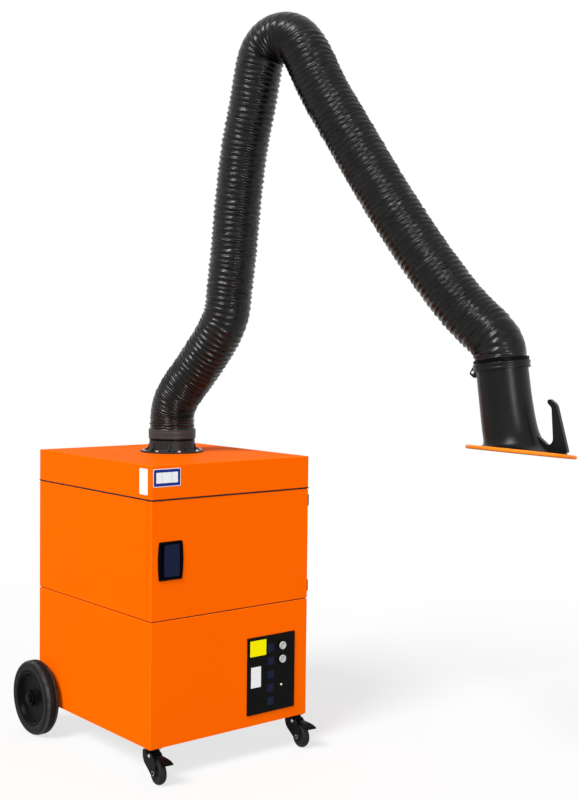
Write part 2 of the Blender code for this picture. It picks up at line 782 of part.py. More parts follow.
def door(door_pivot):
    """Door pan with its seal, hinge leaves, latch cup, paddle and bolt."""
    pan = folded_box(
        "door_panel", (-HALF_WIDTH, FRONT, MIDDLE_BOTTOM), (HALF_WIDTH, FRONT + DOOR_THICKNESS, MIDDLE_TOP),
        [(0, 1, 0)], ORANGE,
    )
    latch_x = -HALF_WIDTH + LATCH_EDGE + LATCH_WIDTH / 2
    latch_z = MIDDLE_BOTTOM + LATCH_RISE
    cup_half_x = LATCH_WIDTH / 2 - LATCH_RIM
    cup_half_z = LATCH_HEIGHT / 2 - LATCH_RIM
    opening = box(
        "latch_opening", (latch_x - cup_half_x - FIT, FRONT - OVERRUN, latch_z - cup_half_z - FIT),
        (latch_x + cup_half_x + FIT, FRONT + OVERRUN, latch_z + cup_half_z + FIT),
    )
    cut(pan, opening)

    seal_x = HALF_WIDTH - SHEET - SEAL_INSET
    seal_low = MIDDLE_BOTTOM + SHEET + SEAL_INSET
    seal_high = MIDDLE_TOP - SHEET - SEAL_INSET
    seal = box(
        "door_seal", (-seal_x, FRONT + SHEET + FIT, seal_low), (seal_x, FRAME_FRONT - FIT, seal_high),
        BLACK_RUBBER,
    )
    seal_inside = box(
        "seal_opening", (-seal_x + SEAL_WIDTH, FRONT, seal_low + SEAL_WIDTH),
        (seal_x - SEAL_WIDTH, FRAME_FRONT + OVERRUN, seal_high - SEAL_WIDTH),
    )
    cut(seal, seal_inside)

    bezel_back = FRONT - FIT
    cup = prism(
        "latch_cup", rounded_rectangle(LATCH_WIDTH, LATCH_HEIGHT, LATCH_CORNER), LATCH_BEZEL, BLACK_PLASTIC,
        (latch_x, bezel_back - LATCH_BEZEL / 2, latch_z), UPRIGHT,
    )
    cup_back = FRONT + LATCH_CUP_DEPTH
    cup_body = box(
        "latch_cup_body", (latch_x - cup_half_x, bezel_back - LATCH_BEZEL / 2, latch_z - cup_half_z),
        (latch_x + cup_half_x, cup_back, latch_z + cup_half_z),
    )
    guide_half_x = BOLT_GUIDE_LENGTH / 2
    guide_half_z = BOLT_HEIGHT / 2 + BOLT_GUIDE_WALL
    guide_x = latch_x - cup_half_x + guide_half_x
    bolt_front = FRAME_FRONT + SHEET + FIT
    guide_back = bolt_front + BOLT_DEPTH + BOLT_GUIDE_WALL
    guide = box(
        "bolt_guide", (guide_x - guide_half_x, cup_back - LATCH_WALL / 2, latch_z - guide_half_z),
        (guide_x + guide_half_x, guide_back, latch_z + guide_half_z),
    )
    inner_x = cup_half_x - LATCH_WALL
    inner_z = cup_half_z - LATCH_WALL
    hollow = box(
        "latch_cup_hollow", (latch_x - inner_x, FRONT - OVERRUN, latch_z - inner_z),
        (latch_x + inner_x, cup_back - LATCH_WALL, latch_z + inner_z),
    )
    tip = -HALF_WIDTH + FLANGE_LIP + BOLT_CLEARANCE
    slot = box(
        "bolt_slot", (tip - OVERRUN, bolt_front - FIT, latch_z - BOLT_HEIGHT / 2 - FIT),
        (guide_x + guide_half_x + OVERRUN, bolt_front + BOLT_DEPTH + FIT, latch_z + BOLT_HEIGHT / 2 + FIT),
    )
    join(cup, cup_body, guide)
    cut(cup, hollow, slot)

    bolt = box(
        "latch_bolt", (tip, bolt_front, latch_z - BOLT_HEIGHT / 2),
        (tip + BOLT_LENGTH, bolt_front + BOLT_DEPTH, latch_z + BOLT_HEIGHT / 2), ZINC,
    )

    pivot_x = latch_x + inner_x - SLIDE_FIT - PADDLE_PIVOT_RADIUS
    paddle_front = FRONT + PADDLE_RECESS - LATCH_BEZEL
    pivot_y = paddle_front + PADDLE_THICKNESS + PADDLE_PIVOT_RADIUS
    paddle = box(
        "latch_paddle", (latch_x - inner_x + PADDLE_FINGER_GAP, paddle_front, latch_z - inner_z + SLIDE_FIT),
        (pivot_x, paddle_front + PADDLE_THICKNESS, latch_z + inner_z - SLIDE_FIT),
        BLACK_PLASTIC,
    )
    spindle = rod(
        "paddle_spindle", (pivot_x, pivot_y, latch_z - inner_z + FIT),
        (pivot_x, pivot_y, latch_z + inner_z - FIT), PADDLE_PIVOT_RADIUS,
    )
    rib_low = latch_z - inner_z + SLIDE_FIT
    rib = box(
        "paddle_rib", (pivot_x - PADDLE_PIVOT_RADIUS, paddle_front + PADDLE_THICKNESS / 2, rib_low),
        (pivot_x, pivot_y, latch_z + inner_z - SLIDE_FIT),
    )
    join(paddle, rib, spindle)

    paddle_pivot = pivot("paddle_pivot", (pivot_x, pivot_y, latch_z), door_pivot)
    bolt_pivot = pivot("bolt_slide", (tip, bolt_front, latch_z), door_pivot)
    upper = hinge("upper", MIDDLE_BOTTOM + HINGE_UPPER_RISE)
    lower = hinge("lower", MIDDLE_BOTTOM + HINGE_LOWER_RISE)
    hang(door_pivot, pan, seal, cup, upper, lower)
    hang(paddle_pivot, paddle)
    hang(bolt_pivot, bolt)


def controls():
    """Control panel, its two push buttons, the lamp and the enclosure behind them."""
    back = FRONT - FIT
    front = back - PANEL_THICKNESS
    panel = prism(
        "control_panel", rounded_rectangle(PANEL_WIDTH, PANEL_HEIGHT, PANEL_CORNER), PANEL_THICKNESS,
        BLACK_PLASTIC, (PANEL_CENTRE_X, (front + back) / 2, PANEL_CENTRE_Z), UPRIGHT,
    )
    button_x = PANEL_CENTRE_X + BUTTON_X
    upper_z = PANEL_CENTRE_Z + BUTTON_UPPER_Z
    bore = bore_radius(BUTTON_RADIUS)
    collar = BUTTON_RADIUS + BUTTON_COLLAR
    for name, level in (("start", upper_z), ("stop", upper_z - BUTTON_PITCH)):
        bezel = rod(
            f"{name}_bezel", (button_x, front - BUTTON_COLLAR_THICKNESS, level),
            (button_x, back - FIT, level),
            collar, sides=ROUND_SIDES,
        )
        hole = rod(
            f"{name}_hole", (button_x, front - OVERRUN, level), (button_x, back + OVERRUN, level),
            bore, sides=SMALL_SIDES,
        )
        join(panel, bezel)
        cut(panel, hole)
        face = front - BUTTON_COLLAR_THICKNESS - BUTTON_PROUD
        button = rod(
            f"{name}_button", (button_x, face, level), (button_x, back + BUTTON_STEM / 2, level),
            BUTTON_RADIUS, BUTTON_GREY,
        )
        stem = rod(
            f"{name}_stem", (button_x, back + FIT, level), (button_x, back + BUTTON_STEM, level), collar,
        )
        join(button, stem)
        hang(pivot(f"{name}_button_slide", (button_x, face, level)), button)
    lamp_z = upper_z - LAMP_DROP
    lamp_hole = rod(
        "lamp_hole", (button_x, front - OVERRUN, lamp_z), (button_x, back + OVERRUN, lamp_z),
        LAMP_RADIUS + FIT
    )
    cut(panel, lamp_hole)
    lens = [
        (0, LAMP_PROUD), (LAMP_RADIUS * LENS_SHARE, LAMP_PROUD * LENS_SHARE), (LAMP_RADIUS, 0),
        (LAMP_RADIUS, -PANEL_THICKNESS), (0, -PANEL_THICKNESS),
    ]
    turned("indicator_lamp", lens, LAMP_GREEN, SMALL_SIDES, (button_x, front, lamp_z), FACING_FRONT)

    half_x = PANEL_WIDTH / 2 - PANEL_MARGIN / 2
    half_z = PANEL_HEIGHT / 2 - PANEL_MARGIN / 2
    enclosure_front = FRONT + SHEET + FIT
    folded_box(
        "control_box", (PANEL_CENTRE_X - half_x, enclosure_front, PANEL_CENTRE_Z - half_z),
        (PANEL_CENTRE_X + half_x, enclosure_front + CONTROL_BOX_DEPTH, PANEL_CENTRE_Z + half_z),
        [(0, -1, 0)], GALVANISED,
    )


def fan():
    """Inlet ring, motor on its bracket, and the impeller on the motor's shaft."""
    shroud_top = BASE_TOP - FAN_TOP_GAP
    wheel_bottom = shroud_top - FAN_HEIGHT
    inlet_outer = EYE_RADIUS - FIT
    throat = EYE_RADIUS - INLET_CLEARANCE - SHEET
    inlet = [
        (EYE_RADIUS + INLET_LIP, MIDDLE_BOTTOM + SHEET), (EYE_RADIUS + INLET_LIP, MIDDLE_BOTTOM),
        (inlet_outer, MIDDLE_BOTTOM), (inlet_outer, BASE_TOP), (throat + SHEET, BASE_TOP - FAN_TOP_GAP / 2),
        (throat + SHEET, shroud_top - FAN_PLATE), (throat, shroud_top - FAN_PLATE),
        (throat, BASE_TOP - FAN_TOP_GAP / 2), (inlet_outer - SHEET, BASE_TOP),
        (inlet_outer - SHEET, MIDDLE_BOTTOM + SHEET),
    ]
    turned("fan_inlet_ring", inlet, GALVANISED, ROUND_SIDES, (0, FAN_Y, 0))

    plate_top = wheel_bottom - FAN_PLATE
    plate_bottom = plate_top - MOUNT_PLATE
    half = MOUNT_WIDTH / 2
    foot = half + MOUNT_FOOT
    base = FLOOR_THICKNESS + FIT
    outline = [
        (-half, plate_top), (-half, base + MOUNT_PLATE), (-foot, base + MOUNT_PLATE), (-foot, base),
        (-half + MOUNT_PLATE, base), (-half + MOUNT_PLATE, plate_bottom), (half - MOUNT_PLATE, plate_bottom),
        (half - MOUNT_PLATE, base), (foot, base), (foot, base + MOUNT_PLATE), (half, base + MOUNT_PLATE),
        (half, plate_top),
    ]
    mount = prism("motor_mount", outline, MOUNT_DEPTH, BLACK_STEEL, (0, FAN_Y, 0), UPRIGHT)
    shaft_hole = rod(
        "mount_shaft_hole", (0, FAN_Y, plate_bottom - OVERRUN), (0, FAN_Y, plate_top + OVERRUN),
        HUB_RADIUS + SLIDE_FIT, sides=ROUND_SIDES,
    )
    cut(mount, shaft_hole)

    motor_top = plate_bottom - FIT
    motor_low = motor_top - MOTOR_LENGTH
    shield = MOTOR_RADIUS * MOTOR_SHIELD_SHARE
    body = [
        (shield, motor_top), (MOTOR_RADIUS, motor_top - SHAFT_RADIUS),
        (MOTOR_RADIUS, motor_low + SHAFT_RADIUS),
        (shield, motor_low), (0, motor_low),
    ]
    motor = turned("fan_motor", [(0, motor_top)] + body, MOTOR_GREY, ROUND_SIDES, (0, FAN_Y, 0))
    terminal = box(
        "terminal_box", (-HUB_RADIUS, FAN_Y - MOTOR_RADIUS - HUB_RADIUS, motor_low + HUB_RADIUS),
        (HUB_RADIUS, FAN_Y - MOTOR_RADIUS / 2, motor_top - HUB_RADIUS),
    )
    socket = rod(
        "motor_shaft_bore", (0, FAN_Y, motor_top - 2 * HUB_RADIUS), (0, FAN_Y, motor_top + OVERRUN),
        bore_radius(SHAFT_RADIUS),
    )
    join(motor, terminal)
    cut(motor, socket)

    plate_high = wheel_bottom + FAN_PLATE
    impeller = turned(
        "fan_impeller",
        [(0, plate_high), (FAN_RADIUS, plate_high), (FAN_RADIUS, wheel_bottom), (0, wheel_bottom)],
        ALUMINIUM, ROUND_SIDES, (0, FAN_Y, 0),
    )
    shroud = turned(
        "fan_shroud", ring_profile(EYE_RADIUS, FAN_RADIUS, shroud_top - FAN_PLATE, shroud_top), None,
        ROUND_SIDES, (0, FAN_Y, 0),
    )
    tools = [shroud]
    for number in range(FAN_BLADES):
        angle = math.tau * number / FAN_BLADES
        tools.append(fan_blade(number, angle, wheel_bottom + FAN_PLATE / 2, shroud_top - FAN_PLATE / 2))
    hub = rod(
        "fan_hub", (0, FAN_Y, plate_top + FIT), (0, FAN_Y, wheel_bottom + FAN_HEIGHT / 2), HUB_RADIUS
    )
    shaft = rod(
        "fan_shaft", (0, FAN_Y, motor_top - 2 * HUB_RADIUS + FIT), (0, FAN_Y, plate_high), SHAFT_RADIUS
    )
    join(impeller, *tools, hub, shaft)
    hang(pivot("fan_pivot", (0, FAN_Y, wheel_bottom)), impeller)


def fan_blade(number, angle, low, high):
    """One backward-curved blade, standing between the plates."""
    inner = EYE_RADIUS - FAN_PLATE
    outer = FAN_RADIUS - FAN_PLATE
    sweep = math.radians(BLADE_SWEEP)
    line = []
    for step in range(BLADE_STEPS + 1):
        share = step / BLADE_STEPS
        radius = inner + (outer - inner) * share
        turn = angle - sweep * share
        line.append(Vector((math.cos(turn), math.sin(turn))) * radius)
    side = []
    for step, point in enumerate(line):
        along = line[min(step + 1, BLADE_STEPS)] - line[max(step - 1, 0)]
        side.append(point + Vector((-along.y, along.x)).normalized() * BLADE_THICKNESS)
    outline = [tuple(point) for point in line + side[::-1]]
    return prism(f"fan_blade_{number}", outline, high - low, None, (0, FAN_Y, (low + high) / 2))


def back_fittings():
    """Exhaust grille, cable gland and push handle on the back."""
    low = BACK + FIT
    grille = box(
        "exhaust_grille", (-GRILLE_WIDTH / 2, low, GRILLE_RISE - GRILLE_HEIGHT / 2),
        (GRILLE_WIDTH / 2, low + GRILLE_THICKNESS, GRILLE_RISE + GRILLE_HEIGHT / 2), BLACK_STEEL,
    )
    pitch = (GRILLE_HEIGHT - 2 * GRILLE_BORDER) / GRILLE_SLOTS
    half = GRILLE_WIDTH / 2 - GRILLE_BORDER
    for number in range(GRILLE_SLOTS):
        middle = GRILLE_RISE - GRILLE_HEIGHT / 2 + GRILLE_BORDER + pitch * (2 * number + 1) / 2
        reach = pitch * GRILLE_SLOT_SHARE / 2
        slot = box(
            f"grille_slot_{number}", (-half, low - OVERRUN, middle - reach),
            (half, low + GRILLE_THICKNESS + OVERRUN, middle + reach),
        )
        cut(grille, slot)

    gland_x = -HALF_WIDTH + GLAND_EDGE
    gland = [
        (GLAND_TIP_RADIUS, GLAND_LENGTH), (GLAND_RADIUS, GLAND_LENGTH / 2), (GLAND_RADIUS, 0),
        (GLAND_BORE, 0), (GLAND_BORE, GLAND_LENGTH),
    ]
    turned("cable_gland", gland, BLACK_PLASTIC, SMALL_SIDES, (gland_x, low, GLAND_RISE), FACING_BACK)

    level = MIDDLE_BOTTOM + PUSH_RISE
    half = PUSH_WIDTH / 2
    corner = PUSH_REACH / 2
    path = [(-half, low, level)]
    for side in (-1, 1):
        centre = Vector((side * (half - corner), low + PUSH_REACH - corner, level))
        for step in range(PUSH_CORNER_STEPS + 1):
            share = step / PUSH_CORNER_STEPS
            turn = math.radians(90) * (share if side < 0 else 1 - share)
            path.append(tuple(centre + corner * Vector((side * math.cos(turn), math.sin(turn), 0))))
    path.append((half, low, level))
    bar = tube("push_handle", path, PUSH_RADIUS, BLACK_STEEL)
    for side, name in ((-1, "left"), (1, "right")):
        foot = rod(
            f"push_foot_{name}", (side * half, low, level), (side * half, low + PUSH_FOOT_THICKNESS, level),
            PUSH_FOOT_RADIUS,
        )
        join(bar, foot)


def rear_wheels():
    """Axle through the base and two wheels, each a rim in a rubber tyre."""
    stub = HALF_WIDTH + WHEEL_STAND_OFF + TYRE_WIDTH
    tip = stub + FIT
    end = tip + AXLE_HEAD / 2
    axle = rod(
        "rear_axle", (-end, AXLE_Y, AXLE_HEIGHT), (end, AXLE_Y, AXLE_HEIGHT), AXLE_RADIUS, ZINC
    )
    for side, name in ((-1, "left"), (1, "right")):
        head = rod(
            f"axle_head_{name}", (side * tip, AXLE_Y, AXLE_HEIGHT),
            (side * (tip + AXLE_HEAD), AXLE_Y, AXLE_HEIGHT), AXLE_RADIUS + AXLE_HEAD,
        )
        collar = rod(
            f"axle_collar_{name}", (side * (HALF_WIDTH + FIT), AXLE_Y, AXLE_HEIGHT),
            (side * (HALF_WIDTH + WHEEL_STAND_OFF - FIT), AXLE_Y, AXLE_HEIGHT), AXLE_RADIUS + AXLE_HEAD,
        )
        join(axle, head, collar)
        middle = side * (HALF_WIDTH + WHEEL_STAND_OFF + TYRE_WIDTH / 2)
        half = TYRE_WIDTH / 2
        tread = half - TYRE_SHOULDER
        wall = TYRE_RADIUS - TYRE_SHOULDER
        bevel = TYRE_SHOULDER * TYRE_BEVEL_SHARE
        tyre_profile = [
            (TYRE_INNER_RADIUS, half), (wall, half), (TYRE_RADIUS - bevel, half - bevel),
            (TYRE_RADIUS, tread),
            (TYRE_RADIUS, -tread), (TYRE_RADIUS - bevel, bevel - half), (wall, -half),
            (TYRE_INNER_RADIUS, -half),
        ]
        centre = (middle, AXLE_Y, AXLE_HEIGHT)
        tyre = turned(f"rear_{name}_tyre", tyre_profile, BLACK_RUBBER, WHEEL_SIDES, centre, FACING_RIGHT)
        outer = (TYRE_INNER_RADIUS - FIT) * math.cos(math.pi / WHEEL_SIDES)
        lip = outer - RIM_WEB / 2
        web = half - RIM_RECESS
        bore = bore_radius(AXLE_RADIUS)
        rim_profile = [
            (outer, half), (outer, -half), (lip, -half), (lip, -web), (RIM_HUB_RADIUS, -web),
            (RIM_HUB_RADIUS, -half), (bore, -half), (bore, half), (RIM_HUB_RADIUS, half),
            (RIM_HUB_RADIUS, web), (lip, web), (lip, half),
        ]
        rim = turned(f"rear_{name}_rim", rim_profile, BLACK_PLASTIC, ROUND_SIDES, centre, FACING_RIGHT)
        hang(pivot(f"rear_{name}_wheel_pivot", centre), tyre, rim)


def caster(name, side):
    """A braked swivel caster; its own frame has +X along the trail and +Z up."""
    place = Vector((side * (HALF_WIDTH - CASTER_INSET_X), FRONT + CASTER_INSET_Y, 0))
    frame = Matrix.Translation(place) @ Matrix.Rotation(math.radians(CASTER_TRAIL_ANGLE), 4, "Z")
    plate_low = -FIT - CASTER_PLATE
    half = CASTER_PLATE_SIDE / 2
    plate = box(f"caster_{name}_plate", (-half, -half, plate_low), (half, half, -FIT), ZINC)
    race_low = plate_low - CASTER_RACE_HEIGHT
    race = rod(
        f"{name}_race", (0, 0, plate_low + FIT), (0, 0, race_low), CASTER_RACE_RADIUS, sides=ROUND_SIDES
    )
    join(plate, race)
    moved = [plate, race]

    head_high = race_low - FIT
    head_low = head_high - CASTER_HEAD_THICKNESS
    wheel_z = FLOOR_LEVEL + CASTER_WHEEL_RADIUS
    cheek_y = CASTER_WHEEL_WIDTH / 2 + CASTER_CHEEK_GAP
    fork = rod(
        f"caster_{name}_fork", (0, 0, head_low), (0, 0, head_high), CASTER_HEAD_RADIUS, BLACK_STEEL,
        ROUND_SIDES
    )
    cheeks = []
    wide = CASTER_CHEEK_WIDTH / 2
    for way, hand in ((-1, "a"), (1, "b")):
        outline = [
            (-wide, head_high - FIT), (CASTER_HEAD_RADIUS, head_high - FIT),
            (CASTER_TRAIL + wide / 2, wheel_z),
            (CASTER_TRAIL, wheel_z - wide / 2), (CASTER_TRAIL - wide / 2, wheel_z),
        ]
        cheek = prism(
            f"{name}_cheek_{hand}", outline, CASTER_CHEEK, None, (0, way * (cheek_y + CASTER_CHEEK / 2), 0),
            UPRIGHT,
        )
        cheeks.append(cheek)
    join(fork, *cheeks)
    axle_hole = rod(
        f"{name}_caster_axle_hole", (CASTER_TRAIL, -CASTER_WHEEL_RADIUS, wheel_z),
        (CASTER_TRAIL, CASTER_WHEEL_RADIUS, wheel_z), CASTER_AXLE_RADIUS + FIT,
    )
    cut(fork, axle_hole)
    moved += [fork, *cheeks, axle_hole]

    outer_y = cheek_y + CASTER_CHEEK + FIT
    end_y = outer_y + CASTER_AXLE_HEAD / 2
    axle = rod(
        f"caster_{name}_axle", (CASTER_TRAIL, -end_y, wheel_z), (CASTER_TRAIL, end_y, wheel_z),
        CASTER_AXLE_RADIUS, ZINC,
    )
    for way, hand in ((-1, "a"), (1, "b")):
        head = rod(
            f"{name}_axle_head_{hand}", (CASTER_TRAIL, way * outer_y, wheel_z),
            (CASTER_TRAIL, way * (outer_y + CASTER_AXLE_HEAD), wheel_z), CASTER_AXLE_HEAD_RADIUS,
        )
        join(axle, head)
        moved.append(head)
    moved.append(axle)

    half_width = CASTER_WHEEL_WIDTH / 2
    bore = bore_radius(CASTER_AXLE_RADIUS)
    soft = half_width * CASTER_TREAD_SHARE
    crown = CASTER_WHEEL_RADIUS * CASTER_EDGE_SHARE
    hub = cheek_y - FIT
    hub_radius = CASTER_AXLE_HEAD_RADIUS + CASTER_AXLE_HEAD
    profile = [
        (bore, hub), (hub_radius, hub), (hub_radius, half_width), (crown, half_width),
        (CASTER_WHEEL_RADIUS, soft), (CASTER_WHEEL_RADIUS, -soft), (crown, -half_width),
        (hub_radius, -half_width), (hub_radius, -hub), (bore, -hub),
    ]
    wheel = turned(
        f"caster_{name}_wheel", profile, BLACK_RUBBER, CASTER_WHEEL_SIDES, (CASTER_TRAIL, 0, wheel_z),
        FACING_FRONT,
    )

    pivot_place = (PEDAL_PIVOT_REACH, 0, -PEDAL_PIVOT_DROP)
    half_pedal = PEDAL_THICKNESS / 2
    pedal_outline = [
        (PEDAL_PIVOT_REACH, half_pedal - PEDAL_PIVOT_DROP), (PEDAL_FLAT_END, half_pedal - PEDAL_PIVOT_DROP),
        (PEDAL_TIP_REACH, half_pedal - PEDAL_TIP_DROP),
        (PEDAL_TIP_REACH - half_pedal, -PEDAL_TIP_DROP - half_pedal),
        (PEDAL_FLAT_END - half_pedal, -half_pedal - PEDAL_PIVOT_DROP),
        (PEDAL_PIVOT_REACH, -half_pedal - PEDAL_PIVOT_DROP),
    ]
    pedal = prism(f"caster_{name}_pedal", pedal_outline, PEDAL_WIDTH, BLACK_STEEL, (0, 0, 0), UPRIGHT)
    spindle = rod(
        f"{name}_pedal_spindle", (PEDAL_PIVOT_REACH, -cheek_y + FIT, -PEDAL_PIVOT_DROP),
        (PEDAL_PIVOT_REACH, cheek_y - FIT, -PEDAL_PIVOT_DROP), PEDAL_PIVOT_RADIUS,
    )
    join(pedal, spindle)

    into_frame(frame, *moved, wheel, pedal, spindle)
    turn = frame.to_quaternion().to_matrix().to_4x4()
    swivel = pivot(f"caster_{name}_swivel", place, None, turn)
    hang(swivel, fork, axle)
    hang(pivot(f"caster_{name}_wheel_pivot", frame @ Vector((CASTER_TRAIL, 0, wheel_z)), swivel, turn), wheel)
    hang(pivot(f"caster_{name}_pedal_pivot", frame @ Vector(pivot_place), swivel, turn), pedal)


def arm_flange():
    """Bolted flange with a collar, stiffened by gussets."""
    profile = [
        (COLLAR_RADIUS, COLLAR_HEIGHT), (COLLAR_RADIUS, ARM_FLANGE_THICKNESS),
        (ARM_FLANGE_RADIUS, ARM_FLANGE_THICKNESS), (ARM_FLANGE_RADIUS, FIT), (COLLAR_BORE, FIT),
        (COLLAR_BORE, COLLAR_HEIGHT),
    ]
    flange = turned("arm_flange", profile, BLACK_PLASTIC, WHEEL_SIDES, (ARM_X, ARM_Y, LID_TOP))
    inner = (COLLAR_BORE + COLLAR_RADIUS) / 2
    outline = [
        (inner, ARM_FLANGE_THICKNESS / 2), (COLLAR_RADIUS + GUSSET_REACH, ARM_FLANGE_THICKNESS / 2),
        (COLLAR_RADIUS + GUSSET_REACH, ARM_FLANGE_THICKNESS + FIT),
        (COLLAR_RADIUS, ARM_FLANGE_THICKNESS + GUSSET_HEIGHT),
        (inner, ARM_FLANGE_THICKNESS + GUSSET_HEIGHT),
    ]
    for number in range(GUSSETS):
        gusset = prism(f"gusset_{number}", outline, GUSSET_THICKNESS, None, (0, 0, 0), UPRIGHT)
        spin = Matrix.Rotation(math.tau * number / GUSSETS, 4, "Z")
        into_frame(Matrix.Translation((ARM_X, ARM_Y, LID_TOP)) @ spin, gusset)
        join(flange, gusset)


def side_bar(name, start, end, hand, look, start_hole=True, end_bolt=True):
    """A link beside the arm's plane, in the arm's frame, with an eye at an end that pivots."""
    offset = hand * (LINK_RADIUS + FIT / 2)
    near, far = Vector((start[0], offset, start[1])), Vector((end[0], offset, end[1]))
    link = rod(name, near, far, LINK_RADIUS, look)
    across = Vector((0, LINK_RADIUS, 0))
    tools = []
    if start_hole:
        tools.append(rod(f"{name}_start_eye", near - across, near + across, LINK_EYE_RADIUS))
    if end_bolt:
        tools.append(rod(f"{name}_end_eye", far - across, far + across, LINK_EYE_RADIUS))
        beyond = Vector((end[0], -hand * (2 * LINK_RADIUS + 2 * FIT), end[1]))
        outer = beyond - Vector((0, hand * PIVOT_HEAD, 0))
        tools.append(rod(f"{name}_bolt", far, (beyond + outer) / 2, PIVOT_RADIUS))
        tools.append(rod(f"{name}_bolt_head", beyond, outer, PIVOT_HEAD_RADIUS))
    join(link, *tools)
    if start_hole:
        long = across * 2
        hole = rod(f"{name}_hole", near - long, near + long, bore_radius(PIVOT_RADIUS))
        cut(link, hole)
        tools.append(hole)
    into_frame(ARM_FRAME, link, *tools)
    return link


def hose_inner():
    """Radius that fits inside the faceted bore of the hose."""
    return HOSE_BORE_RADIUS * math.cos(math.pi / TUBE_SIDES) - FIT


def arm_turntable():
    """Turning cuff with a sleeve in the collar, a bar across it and the shoulder's post."""
    spigot = hose_inner()
    inner = spigot - SLEEVE_WALL
    sleeve = COLLAR_BORE - SLIDE_FIT
    profile = [
        (spigot, CUFF_LOW + SPIGOT_HEIGHT), (spigot, CUFF_HIGH), (COLLAR_RADIUS, CUFF_HIGH),
        (COLLAR_RADIUS, CUFF_LOW), (sleeve, CUFF_LOW), (sleeve, CUFF_LOW - SLEEVE_DEPTH),
        (inner, CUFF_LOW - SLEEVE_DEPTH), (inner, CUFF_LOW + SPIGOT_HEIGHT),
    ]
    cuff = turned("arm_turntable", profile, BLACK_STEEL)
    reach = inner + SLEEVE_WALL / 2
    bar = box(
        "turntable_bar", (-reach, -CROSS_BAR_WIDTH / 2, CUFF_LOW),
        (reach, CROSS_BAR_WIDTH / 2, CUFF_LOW + CROSS_BAR_THICKNESS),
    )
    into_frame(ARM_FRAME, cuff, bar)
    post = side_bar(
        "shoulder_post", (POST_FOOT, CUFF_LOW + CROSS_BAR_THICKNESS / 2), SHOULDER, -1, None, start_hole=False
    )
    join(cuff, bar, post)

    inner_band = (HOSE_RADIUS + FIT) / math.cos(math.pi / ROUND_SIDES)
    band_low = CUFF_HIGH + CLAMP_RISE
    clamp = turned(
        "hose_clamp",
        ring_profile(inner_band, inner_band + CLAMP_THICKNESS, band_low, band_low + CLAMP_WIDTH),
        BLACK_STEEL,
    )
    lug = box(
        "clamp_lug", (-CLAMP_LUG / 2, inner_band + CLAMP_THICKNESS / 2, band_low),
        (CLAMP_LUG / 2, inner_band + CLAMP_LUG, band_low + CLAMP_WIDTH),
    )
    into_frame(ARM_FRAME, clamp, lug)
    join(clamp, lug)
    return cuff, clamp


def beside(start, end, along, offset):
    """A point beside a link: so far along it and to its right, in the arm's plane."""
    start, end = Vector(start), Vector(end)
    way = (end - start).normalized()
    return start + way * along + Vector((way.y, -way.x)) * offset


def neck_axis():
    """Direction up the hood's neck, in the arm's plane."""
    tilt = math.radians(NECK_TILT)
    return Vector((-math.sin(tilt), math.cos(tilt)))


def arc(centre, radius, start, end, steps):
    """Points along an arc between two angles in degrees."""
    angles = [math.radians(start + (end - start) * step / steps) for step in range(steps + 1)]
    return [centre + radius * Vector((math.cos(angle), math.sin(angle))) for angle in angles]


def hose_route():
    """The hose's centre line as evenly spaced points with their distances from its start."""
    up = neck_axis()
    end = Vector(WRIST) - up * (WRIST_DROP - WRIST_RING_HEIGHT - FIT)
    route = [Vector((0, height)) for height in (CUFF_HIGH + FIT, CUFF_LOW + SPIGOT_HEIGHT, BASE_STRAIGHT)]
    route += [Vector(place) for place in BASE_ROUTE]
    route += [beside(SHOULDER, ELBOW, *place) for place in LOWER_ROUTE]
    crown = Vector(ELBOW) + Vector(CROWN_OFFSET)
    route += arc(crown, CROWN_RADIUS, *CROWN_ANGLES, CROWN_STEPS) + [Vector(ELBOW) + Vector(CROWN_EXIT)]
    route += [beside(ELBOW, WRIST, *place) for place in FOREARM_ROUTE]
    bend_end = end + up * HOSE_END_STRAIGHT
    bend_centre = bend_end + Vector((-up.y, up.x)) * WRIST_RADIUS
    route += arc(bend_centre, WRIST_RADIUS, WRIST_ANGLE, NECK_TILT, WRIST_STEPS) + [end]
    padded = [route[0] * 2 - route[1]] + route + [route[-1] * 2 - route[-2]]
    line = []
    for number in range(1, len(padded) - 2):
        line += smooth_span(*padded[number - 1:number + 3])
    line.append(route[-1])
    distance = [0.0]
    for before, after in zip(line, line[1:]):
        distance.append(distance[-1] + (after - before).length)
    return line, distance


def smooth_span(before, start, end, after):
    """Points of a smooth curve from start up to end, by centripetal Catmull-Rom."""
    knots = [0.0]
    for one, two in ((before, start), (start, end), (end, after)):
        knots.append(knots[-1] + math.sqrt((two - one).length))
    points = []
    for step in range(ROUTE_STEPS):
        t = knots[1] + (knots[2] - knots[1]) * step / ROUTE_STEPS
        level = [before, start, end, after]
        for order in (1, 2, 3):
            level = [
                (level[i] * (window_end - t) + level[i + 1] * (t - window_start))
                / (window_end - window_start)
                for i in range(len(level) - 1)
                for window_start, window_end in [catmull_window(knots, order, i)]
            ]
        points.append(level[0])
    return points


def catmull_window(knots, order, index):
    """The knot interval that one blend of the Catmull-Rom pyramid spans."""
    if order == 1:
        return knots[index], knots[index + 1]
    if order == 2:
        return knots[index], knots[index + 2]
    return knots[1], knots[2]


def at_distance(line, distance, wanted):
    """Point and direction of the route at a distance from its start."""
    number = 1
    while number < len(distance) - 1 and distance[number] < wanted:
        number += 1
    span = distance[number] - distance[number - 1]
    way = (line[number] - line[number - 1]).normalized()
    share = (wanted - distance[number - 1]) / span
    return line[number - 1].lerp(line[number], share), way


def nearest_distance(line, distance, place):
    """How far along the route its point nearest to a place lies."""
    number = min(range(len(line)), key=lambda index: (line[index] - place).length)
    return distance[number]


